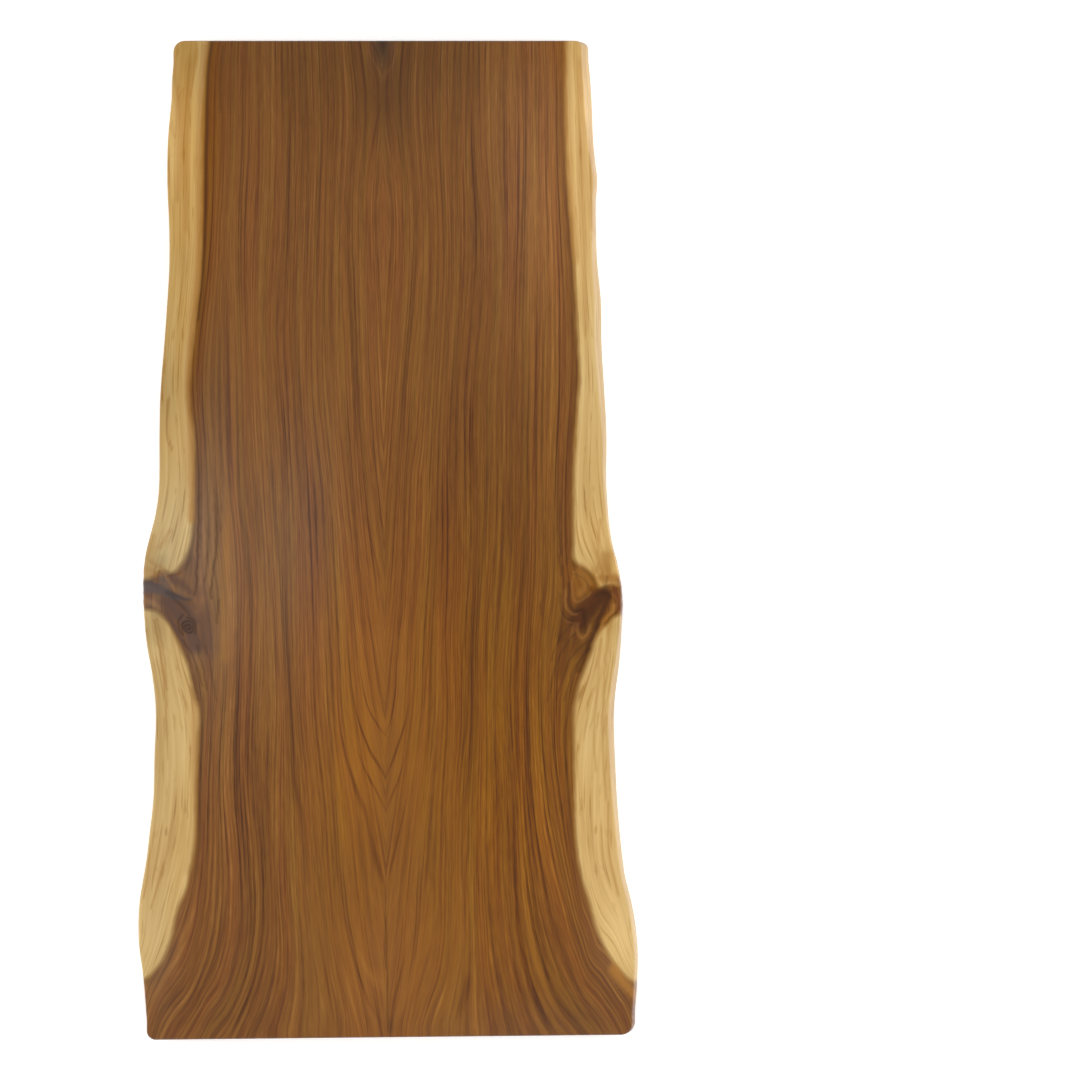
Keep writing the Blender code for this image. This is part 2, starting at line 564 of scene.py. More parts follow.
    def toned(self, bench: NodeBench, tone: Any, tones: tuple[str, ...]) -> Any:
        """Colour a tone from 0 to 1 through evenly spaced colours."""
        ramp = bench.tree.nodes.new("ShaderNodeValToRGB")
        bench.tree.links.new(tone, ramp.inputs[0])
        stops = ramp.color_ramp.elements
        while len(stops) < len(tones):
            stops.new(0.5)
        for index, code in enumerate(tones):
            stops[index].position = index / (len(tones) - 1)
            stops[index].color = hex_colour(code)
        return ramp.outputs[0]

    def sapwood(self, bench: NodeBench, line: Any, station: Any, depth: Any, fibre: Any) -> Any:
        """Colour the sapwood, which has the same lines as the heartwood but fainter."""
        add = bench.add
        band = self.noise(bench, line, station, depth, (20.0, 520.0), 2.0, 5.0)
        centred = add("ShaderNodeMath", {"operation": "SUBTRACT"}, {0: band, 1: 0.5})
        tone = add("ShaderNodeMath", {"operation": "MULTIPLY_ADD"}, {0: centred, 1: 1.1, 2: 0.5})
        centred = add("ShaderNodeMath", {"operation": "SUBTRACT"}, {0: fibre, 1: 0.5})
        tone = add("ShaderNodeMath", {"operation": "MULTIPLY_ADD"}, {0: centred, 1: 0.6, 2: tone})
        for size, seed, start, full, contrast in (((4.5, 150.0), 11.0, 0.56, 0.68, 0.30), ((8.0, 60.0), 12.0, 0.60, 0.74, 0.25)):
            mark = self.noise(bench, line, station, depth, size, 2.0, seed)
            mark = add("ShaderNodeMapRange", {"interpolation_type": "SMOOTHSTEP"}, {
                0: mark, 1: start, 2: full, 3: 0.0, 4: contrast})
            tone = add("ShaderNodeMath", {"operation": "SUBTRACT"}, {0: tone, 1: mark})
        colour = self.toned(bench, tone, self.sap_tones)
        wane = add("ShaderNodeMapRange", {"interpolation_type": "SMOOTHSTEP"}, {
            0: depth, 1: 0.3, 2: 4.0, 3: 0.0, 4: 0.75})
        above = add("ShaderNodeMapRange", {"interpolation_type": "SMOOTHSTEP"}, {
            0: depth, 1: 46.0, 2: 49.8, 3: 1.0, 4: 0.0})
        wane = add("ShaderNodeMath", {"operation": "MULTIPLY"}, {0: wane, 1: above})
        fibres = self.noise(bench, depth, station, line, self.wane_fibre, 3.0, 14.0)
        fibres = add("ShaderNodeMapRange", {}, {0: fibres, 1: 0.3, 2: 0.66, 3: 0.0, 4: 1.0})
        edge = self.toned(bench, fibres, self.wane_tones)
        return add("ShaderNodeMix", {"data_type": "RGBA"}, {0: wane, 6: colour, 7: edge}, 2)

    def join_sapwood(self, bench: NodeBench, heart: Any, sapwood: Any, sap: Any, station: Any, ring: Any) -> Any:
        """Set the sapwood against the heartwood with an amber line and a dark one between them."""
        add = bench.add
        ragged = self.noise(bench, ring, station, ring, (14.0, 40.0), 2.0, 6.0)
        sap = add("ShaderNodeMath", {"operation": "MULTIPLY_ADD"}, {
            0: add("ShaderNodeMath", {"operation": "SUBTRACT"}, {0: ragged, 1: 0.5}), 1: 5.0, 2: sap})
        shade = add("ShaderNodeMapRange", {"interpolation_type": "SMOOTHSTEP"}, {
            0: sap, 1: -20.0, 2: -5.0, 3: 1.0, 4: 0.9})
        heart = add("ShaderNodeVectorMath", {"operation": "SCALE"}, {0: heart, 3: shade})
        share = add("ShaderNodeMapRange", {"interpolation_type": "SMOOTHSTEP"}, {
            0: sap, 1: -4.0, 2: 5.0, 3: 0.0, 4: 1.0})
        colour = add("ShaderNodeMix", {"data_type": "RGBA"}, {0: share, 6: heart, 7: sapwood}, 2)
        away = add("ShaderNodeMath", {"operation": "ABSOLUTE"}, {
            0: add("ShaderNodeMath", {"operation": "SUBTRACT"}, {0: sap, 1: 0.5})})
        border = add("ShaderNodeMapRange", {"interpolation_type": "SMOOTHSTEP"}, {
            0: away, 1: 0.5, 2: 7.0, 3: 0.55, 4: 0.0})
        return add("ShaderNodeMix", {"data_type": "RGBA"}, {
            0: border, 6: colour, 7: hex_colour(self.border_colour)}, 2)

    def cooled(self, bench: NodeBench, colour: Any) -> Any:
        """Make the wood cooler or more orange where the broad patches say so, and greyer where some on the left board
        paint the lacquer's sheen.
        """
        cool = bench.add("ShaderNodeAttribute", {"attribute_name": Cast.VIOLET.value}, {}, 2)
        return bench.add("ShaderNodeMix", {"data_type": "RGBA", "blend_type": "ADD", "clamp_factor": False}, {
            0: cool, 6: colour, 7: hex_colour(self.grey_and_sheen_tint)}, 2)

    def lightened(self, bench: NodeBench, colour: Any) -> Any:
        """Make the wood lighter or darker where the broad patches say so, and lighter where one on the left board
        paints the lacquer's sheen.
        """
        light = bench.add("ShaderNodeAttribute", {"attribute_name": Cast.LIGHT.value}, {}, 2)
        light = bench.add("ShaderNodeMath", {"operation": "ADD"}, {0: light, 1: 1.0})
        return bench.add("ShaderNodeVectorMath", {"operation": "SCALE"}, {0: colour, 3: light})

    def stained(self, bench: NodeBench, colour: Any) -> Any:
        """Lay the strokes of the knots and streaks over the wood."""
        for stain, blend, code in self.stains:
            amount = bench.add("ShaderNodeAttribute", {"attribute_name": stain.value}, {}, 2)
            colour = bench.add("ShaderNodeMix", {"data_type": "RGBA", "blend_type": blend}, {
                0: amount, 6: colour, 7: hex_colour(code)}, 2)
        return colour

    def end_grain_and_arris_shade(self, bench: NodeBench, colour: Any, ring: Any, depth: Any) -> Any:
        """Darken the two sawn ends, where the open pores drink the lacquer, and paint shade on the rounded arris and a
        thin rim of the face by each cut.
        """
        add = bench.add
        place = add("ShaderNodeTexCoord", {}, {}, 1)
        facing = add("ShaderNodeSeparateXYZ", {}, {0: place}, 1)
        facing = add("ShaderNodeMath", {"operation": "ABSOLUTE"}, {0: facing})
        # Sawn end grain is truly darker; the ramp starts at a slight tilt, so the rounded arris by each end darkens
        # too, as painted shade.
        ends = add("ShaderNodeMapRange", {"interpolation_type": "SMOOTHSTEP"}, {
            0: facing, 1: 0.1, 2: 0.6, 3: 0.0, 4: 1.0})
        spot = add("ShaderNodeCombineXYZ", {}, {0: ring, 1: depth})
        pores = add("ShaderNodeTexVoronoi", {}, {"Vector": spot, "Scale": 0.4, "Randomness": 1.0})
        pores = add("ShaderNodeMapRange", {"interpolation_type": "SMOOTHSTEP"}, {
            0: pores, 1: 0.1, 2: 0.45, 3: 0.55, 4: 0.74})
        shade = add("ShaderNodeMix", {}, {0: ends, 2: 1.0, 3: pores})
        # Painted shade: a dark line on the face along each cut, where the rounded arris turns away from the light.
        gap = add("ShaderNodeAttribute", {"attribute_name": "end_gap"}, {}, 2)
        rim = add("ShaderNodeMapRange", {"interpolation_type": "SMOOTHSTEP"}, {
            0: gap, 1: 1.5, 2: 4.5, 3: 0.78, 4: 1.0})
        shade = add("ShaderNodeMath", {"operation": "MINIMUM"}, {0: shade, 1: rim})
        return add("ShaderNodeVectorMath", {"operation": "SCALE"}, {0: colour, 3: shade})


# Rings along the seam, where the two boards meet: (station, ring)
SEAM_RINGS: Points = (
    (998, -88), (960, -76), (910, -62), (870, -67), (850, -74), (810, -82), (780, -88), (750, -94),
    (680, -99), (579, -96), (499, -90), (419, -86), (299, -79), (199, -70), (129, -60), (-2, -40),
    (-102, -20), (-202, 0), (-302, 16), (-352, 36), (-388, 54), (-481, 72), (-543, 84), (-697, 98),
    (-843, 110), (-979, 122),
)

# The fine fibres run straighter than the rings from the seam out to ring 224: (station, fibre number)
# at the seam and at ring 180, and (station, how far they leave the rings for that straight course) out
# by ring 180 and at the seam
FIBRES_AT_SEAM: Points = ((998, -60), (0, -40), (-600, 10), (-998, 10))
FIBRES_AT_180: Points = ((998, 180), (100, 180), (-450, 150), (-998, 150))
STRAIGHTNESS: Points = ((998, 0.7), (860, 0.8), (700, 0.5), (300, 0.5), (-150, 0.8), (-400, 1.0), (-998, 1.0))
SEAM_STRAIGHTNESS: Points = ((998, 0.6), (860, 0.7), (700, 0.5), (300, 0.5), (-150, 0.7), (-400, 0.7), (-700, 0.5), (-998, 0.4))

LEFT_LINES = (
    GrowthLine(-72, ((997, 22), (972, 11), (955, 3))),
    GrowthLine(-66, ((997, 38), (964, 19), (935, 5))),
    GrowthLine(-67, ((864, 5), (824, 11), (740, 27), (610, 30), (499, 22), (199, 8))),
    GrowthLine(16, ((880, 85), (480, 93), (279, 86), (-1, 59), (-82, 45), (-162, 34), (-278, 12))),
    GrowthLine(54, ((-21, 75), (-102, 65), (-202, 56), (-328, 34), (-364, 18))),
    GrowthLine(72, ((-41, 89), (-162, 78), (-302, 66), (-392, 47), (-436, 27))),
    GrowthLine(98, ((881, 133), (420, 147), (300, 148), (79, 119), (-101, 107), (-162, 102),
                    (-402, 85), (-462, 71), (-563, 33), (-623, 22), (-677, 8))),
    GrowthLine(122, ((881, 149), (420, 161), (159, 150), (-41, 133), (-282, 116), (-362, 115),
                     (-482, 101), (-703, 90), (-763, 84), (-813, 73), (-923, 37))),
    GrowthLine(180, ((961, 199), (781, 199), (620, 204), (420, 215), (174, 202), (-327, 171),
                     (-502, 145), (-803, 119), (-963, 91))),
    GrowthLine(200, ((340, 232), (174, 222), (-327, 201), (-422, 191), (-522, 165), (-656, 152),
                     (-756, 147), (-837, 139))),
    GrowthLine(212, ((-977, 137), (-987, 136))),
    GrowthLine(224, ((961, 241), (781, 241), (420, 253), (340, 252), (174, 244), (5, 233), (-161, 226),
                     (-321, 219), (-522, 226), (-696, 226), (-822, 221), (-892, 229), (-978, 258))),
    GrowthLine(252, ((340, 270), (140, 265), (-61, 249), (-421, 257), (-822, 249), (-898, 265), (-978, 302))),
    GrowthLine(275, ((961, 285), (781, 288), (621, 296), (340, 292), (140, 289), (-61, 273), (-327, 277),
                     (-421, 281), (-696, 272), (-812, 273), (-888, 291), (-978, 346))),
    GrowthLine(305, ((621, 322), (140, 321), (-60, 306), (-327, 307), (-481, 314), (-696, 303),
                     (-822, 313), (-902, 338), (-978, 390))),
    GrowthLine(345, ((962, 333), (621, 342), (301, 370), (140, 361), (0, 361), (-120, 344), (-200, 338),
                     (-455, 349), (-655, 352), (-787, 367), (-891, 398), (-969, 454))),
    GrowthLine(384, ((982, 347), (902, 355), (601, 365), (281, 390), (180, 381), (80, 381), (0, 387),
                     (-40, 396), (-220, 404), (-270, 387), (-347, 373), (-421, 377), (-541, 381),
                     (-665, 392), (-725, 409), (-785, 425), (-845, 451), (-891, 476))),
    GrowthLine(446, ((962, 421), (762, 430), (581, 431), (401, 440), (241, 450), (81, 453), (-40, 482),
                     (-200, 478), (-320, 461), (-480, 464), (-601, 476), (-721, 495), (-801, 495))),
)

RIGHT_LINES = (
    GrowthLine(-72, ((997, 22), (972, 12), (955, 3))),
    GrowthLine(-66, ((997, 36), (964, 18), (935, 5))),
    GrowthLine(-67, ((880, 23), (699, 39), (519, 36), (439, 29), (329, 15), (179, 0))),
    GrowthLine(16, ((900, 70), (619, 82), (479, 78), (279, 57), (178, 48), (-2, 29), (-102, 23), (-272, 2))),
    GrowthLine(54, ((138, 56), (-102, 35), (-202, 24), (-332, 14))),
    GrowthLine(72, ((899, 102), (619, 114), (479, 114), (-142, 71), (-202, 64), (-303, 56), (-353, 48),
                    (-437, 19))),
    GrowthLine(98, ((218, 111), (-62, 95), (-202, 83), (-403, 62), (-613, 22), (-659, 10))),
    GrowthLine(122, ((899, 130), (619, 134), (-62, 105), (-203, 101), (-403, 86), (-723, 52), (-803, 44),
                     (-923, 17))),
    GrowthLine(180, ((959, 192), (779, 195), (618, 205), (278, 185), (78, 180), (-63, 171), (-197, 157),
                     (-329, 153), (-523, 131), (-663, 126), (-784, 126), (-864, 117), (-972, 81))),
    GrowthLine(200, ((338, 209), (138, 204), (-43, 195), (-203, 183), (-329, 178), (-443, 170),
                     (-563, 155), (-684, 146), (-784, 144), (-838, 146))),
    GrowthLine(212, ((-978, 142), (-988, 141))),
    GrowthLine(224, ((959, 236), (779, 235), (618, 239), (458, 238), (298, 229), (137, 226), (-43, 220),
                     (-203, 209), (-484, 203), (-764, 208), (-864, 216), (-981, 243))),
    GrowthLine(252, ((959, 272), (778, 271), (618, 267), (3, 255), (-357, 240), (-458, 246), (-824, 266),
                     (-905, 284), (-977, 317))),
    GrowthLine(275, ((618, 291), (338, 287), (137, 282), (-43, 280), (-330, 268), (-590, 281),
                     (-845, 324), (-931, 360), (-977, 395))),
    GrowthLine(305, ((959, 320), (618, 317), (418, 318), (217, 315), (37, 314), (-103, 309), (-203, 299),
                     (-330, 296), (-458, 302), (-590, 315), (-725, 341), (-835, 372), (-921, 416),
                     (-966, 452))),
    GrowthLine(345, ((958, 348), (778, 348), (457, 360), (297, 361), (137, 353), (-3, 350), (-104, 349),
                     (-204, 335), (-564, 349), (-675, 369), (-765, 396), (-845, 432), (-922, 480))),
    GrowthLine(384, ((978, 368), (718, 371), (337, 392), (137, 379), (17, 379), (-30, 384), (-64, 404),
                     (-244, 407), (-284, 391), (-324, 380), (-585, 380), (-665, 389), (-825, 440),
                     (-876, 478))),
    GrowthLine(446, ((958, 405), (758, 416), (577, 421), (277, 437), (116, 441), (-14, 456), (-104, 472),
                     (-224, 469), (-344, 457), (-485, 458), (-625, 469), (-725, 489), (-826, 500))),
)

# The border of the sapwood, above and below each knot
LEFT_SAP: tuple[Points, ...] = (
    ((1020, 343), (942, 353), (882, 357), (781, 360), (681, 362), (541, 366), (461, 374), (381, 383),
     (301, 390), (261, 389), (221, 382), (140, 381), (60, 382), (0, 387), (-20, 392), (-40, 401),
     (-52, 410), (-62, 419), (-66, 431), (-61, 441), (-63, 450), (-69, 458), (-78, 470), (-80, 520)),
    ((-136, 520), (-142, 460), (-154, 444), (-170, 430), (-194, 419), (-220, 408), (-240, 399),
     (-264, 391), (-300, 384), (-347, 373), (-401, 376), (-501, 380), (-585, 381), (-625, 385),
     (-665, 392), (-705, 401), (-745, 419), (-805, 433), (-845, 451), (-865, 466), (-875, 476),
     (-895, 520)),
)
RIGHT_SAP: tuple[Points, ...] = (
    ((1020, 368), (798, 368), (718, 371), (638, 377), (558, 382), (477, 386), (377, 390), (327, 392),
     (257, 387), (197, 383), (127, 379), (-3, 378), (-24, 377), (-40, 379), (-50, 385), (-60, 397),
     (-68, 410), (-82, 421), (-95, 427), (-100, 431), (-99, 440), (-96, 456), (-92, 520)),
    ((-138, 520), (-158, 458), (-171, 446), (-181, 434), (-204, 421), (-224, 415), (-244, 407), (-264, 399),
     (-284, 391), (-304, 385), (-344, 378), (-484, 378), (-565, 379), (-625, 383), (-665, 389),
     (-705, 399), (-745, 411), (-785, 422), (-825, 440), (-865, 466), (-886, 488), (-906, 530)),
)

LEFT_STROKES = (
    # Knot: brown wood that closed over the dead branch
    Stroke(Stain.DUSK, 16, 0.95, ((-122, 435), (-143, 418), (-164, 399), (-190, 387), (-213, 380)), 18, 3),
    Stroke(Stain.DUSK, 7.5, 0.85, ((-142, 438), (-156, 432), (-174, 421), (-190, 412), (-208, 402)), 4, 4),
    Stroke(Stain.DUSK, 12, 0.9, ((-117, 424), (-130, 403), (-148, 389), (-164, 378)), 13, 2.5),
    Stroke(Stain.DUSK, 24, 0.5, ((-145, 372), (-175, 361), (-213, 353)), 22),
    Stroke(Stain.DUSK, 8, 0.7, ((-118, 408), (-126, 392), (-136, 380)), 7),
    Stroke(Stain.DUSK, 10, 0.75, ((-80, 428), (-84, 414), (-92, 399), (-105, 388)), 8, 2.5),
    Stroke(Stain.DUSK, 15, 0.4, ((-40, 388), (-70, 384), (-105, 378)), 16),
    Stroke(Stain.DUSK, 5, 0.35, ((-74, 479), (-74, 466), (-78, 456)), 4),
    Stroke(Stain.PALE, 9, 0.7, ((-123, 483), (-125, 467), (-136, 453)), 5, 3),
    Stroke(Stain.PALE, 5, 0.3, ((-136, 453), (-149, 441), (-166, 433)), 4, 3),
    Stroke(Stain.AMBER, 12, 0.45, ((-58, 481), (-64, 466), (-69, 453)), 8, 2.5),
    Stroke(Stain.AMBER, 6, 0.4, ((-40, 472), (-50, 460), (-57, 443)), 5),
    Stroke(Stain.AMBER, 5, 0.4, ((-14, 449), (2, 439), (19, 430)), 4),
    Stroke(Stain.AMBER, 6, 0.35, ((9, 462), (-14, 468), (-35, 475))),
    Stroke(Stain.PALE, 3.8, 0.8, ((-64, 442), (-76, 435), (-88, 428), (-101, 420)), 2.8, 2.5),
    Stroke(Stain.PALE, 4, 0.45, ((-72, 450), (-82, 445), (-92, 437)), 3),
    Stroke(Stain.GREY, 5, 0.6, ((-74, 449), (-84, 443), (-94, 436)), 4),
    Stroke(Stain.RED, 2.2, 0.4, ((-62, 451), (-72, 453), (-82, 452)), 2),
    Stroke(Stain.RED, 2.6, 0.5, ((-72, 435), (-69, 418), (-62, 407)), 2),
    # Its grey streak
    Stroke(Stain.GREY, 15.5, 0.93, ((-94, 487), (-95, 466), (-100, 447), (-109, 429), (-116, 415)), 5, 5),
    Stroke(Stain.GREY, 5, 0.75, ((-113, 417), (-116, 405), (-118, 395), (-117, 384)), 2),
    Stroke(Stain.DARK, 5, 0.45, ((-105, 435), (-115, 422), (-128, 410), (-143, 397), (-160, 387)), 3),
    Stroke(Stain.DARK, 4, 0.5, ((-106, 426), (-113, 413), (-119, 399), (-121, 387)), 2),
    Stroke(Stain.DARK, 4, 0.18, ((-84, 482), (-86, 468), (-91, 454))),
    # Its eye
    Stroke(Stain.DARK, 2, 0.85, ((-174, 389), (-169, 392), (-169, 398), (-174, 401), (-179, 398),
                                (-179, 392), (-174, 389))),
    Stroke(Stain.DARK, 2, 0.85, ((-174, 383), (-165, 387), (-162, 395), (-166, 404), (-174, 406),
                                (-182, 403), (-186, 395), (-183, 387), (-174, 383))),
    Stroke(Stain.DARK, 2, 0.75, ((-156, 397), (-159, 384), (-173, 379), (-188, 380))),
    Stroke(Stain.DARK, 2, 0.65, ((-150, 405), (-162, 413), (-177, 413), (-190, 406))),
    Stroke(Stain.DARK, 4, 0.5, ((-173, 396), (-174, 394))),
    # Lines that flow round it
    Stroke(Stain.DARK, 2.4, 0.3, ((210, 377), (40, 380), (9, 383), (-19, 386), (-44, 392), (-59, 400)), rise=0.6),
    Stroke(Stain.DARK, 4.5, 0.6, ((240, 370), (140, 369), (53, 372), (-2, 373), (-29, 374), (-61, 376), (-91, 377),
                                  (-110, 381)), 2, rise=0.5),
    Stroke(Stain.DARK, 2.6, 0.5, ((150, 354), (53, 353), (-2, 353), (-51, 356), (-82, 360)), 1.8, rise=0.6),
    Stroke(Stain.DARK, 4.5, 0.6, ((250, 345), (140, 341), (53, 336), (-2, 336), (-34, 339), (-70, 344), (-95, 347),
                                  (-116, 348)), 2, rise=0.5),
    Stroke(Stain.DARK, 2.2, 0.4, ((220, 332), (61, 328), (17, 328)), rise=0.6),
    Stroke(Stain.DARK, 2.2, 0.5, ((-120, 333), (-150, 335), (-167, 336))),
    Stroke(Stain.PALE, 3.4, 0.3, ((140, 377), (49, 378), (-2, 378), (-29, 380)), 3, rise=0.6),
    Stroke(Stain.PALE, 5, 0.35, ((230, 361), (61, 361), (-23, 363), (-86, 368)), 4, rise=0.6),
    Stroke(Stain.PALE, 4, 0.3, ((200, 347), (61, 344), (-23, 345), (-87, 351)), 3, rise=0.6),
    Stroke(Stain.AMBER, 9, 0.3, ((170, 307), (40, 312), (-23, 316), (-87, 320), (-150, 321), (-234, 319)), 12,
           rise=0.4),
    Stroke(Stain.PALE, 7, 0.25, ((-120, 367), (-141, 372)), 6),
    Stroke(Stain.DARK, 2.2, 0.5, ((-200, 406), (-222, 390), (-250, 379), (-291, 365)), 1.5),
    Stroke(Stain.DARK, 2.2, 0.5, ((-212, 376), (-250, 367), (-301, 357)), 1.5),
    Stroke(Stain.DARK, 2.0, 0.45, ((-214, 360), (-240, 352), (-321, 339)), 1.5),
    Stroke(Stain.DARK, 2.0, 0.4, ((-230, 398), (-270, 385), (-321, 375)), 1.5),
    # The sapwood, deeper in colour beside the heartwood, and its streaks
    Stroke(Stain.AMBER, 9, 0.62, ((990, 353), (882, 363), (781, 366), (681, 368), (541, 372), (461, 380),
                                  (381, 388), (301, 394), (221, 388), (140, 387), (40, 387)), 7, 2),
    Stroke(Stain.DARK, 3.4, 0.62, ((996, 342), (942, 348), (882, 351), (820, 352), (740, 354), (680, 354),
                                   (600, 357), (520, 362), (440, 371)), 2.4, 2.4),
    Stroke(Stain.DARK, 2.6, 0.4, ((990, 318), (920, 324), (860, 324)), 2.2),
    Stroke(Stain.AMBER, 7, 0.3, ((-330, 382), (-420, 384), (-585, 388), (-665, 400)), 6),
    Stroke(Stain.AMBER, 2.6, 0.75, ((281, 432), (231, 435), (201, 433), (181, 423)), 1.8),
    Stroke(Stain.AMBER, 2.6, 0.65, ((-160, 462), (-230, 449), (-320, 439)), 2.2),
    Stroke(Stain.AMBER, 2.2, 0.5, ((-156, 456), (-240, 441), (-300, 437)), 1.8),
    Stroke(Stain.AMBER, 2.4, 0.5, ((-320, 439), (-440, 436)), 1.5),
    Stroke(Stain.AMBER, 2.4, 0.6, ((-621, 472), (-681, 479), (-721, 487)), 1.8),
    Stroke(Stain.AMBER, 2.2, 0.6, ((-641, 443), (-691, 457), (-741, 473)), 1.6),
    Stroke(Stain.AMBER, 9, 0.4, ((962, 421), (842, 405), (681, 410)), 6),
    Stroke(Stain.AMBER, 8, 0.35, ((962, 385), (762, 394), (621, 394)), 6),
    Stroke(Stain.AMBER, 9, 0.7, ((-877, 500), (-893, 488), (-917, 492)), 5, 3),
    # The dark line that comes and goes on the seam
    Stroke(Stain.DARK, 1.7, 0.5, ((-690, 0.2), (-770, 0.6), (-835, 2.6), (-860, 0.4)), rise=0.15),
)

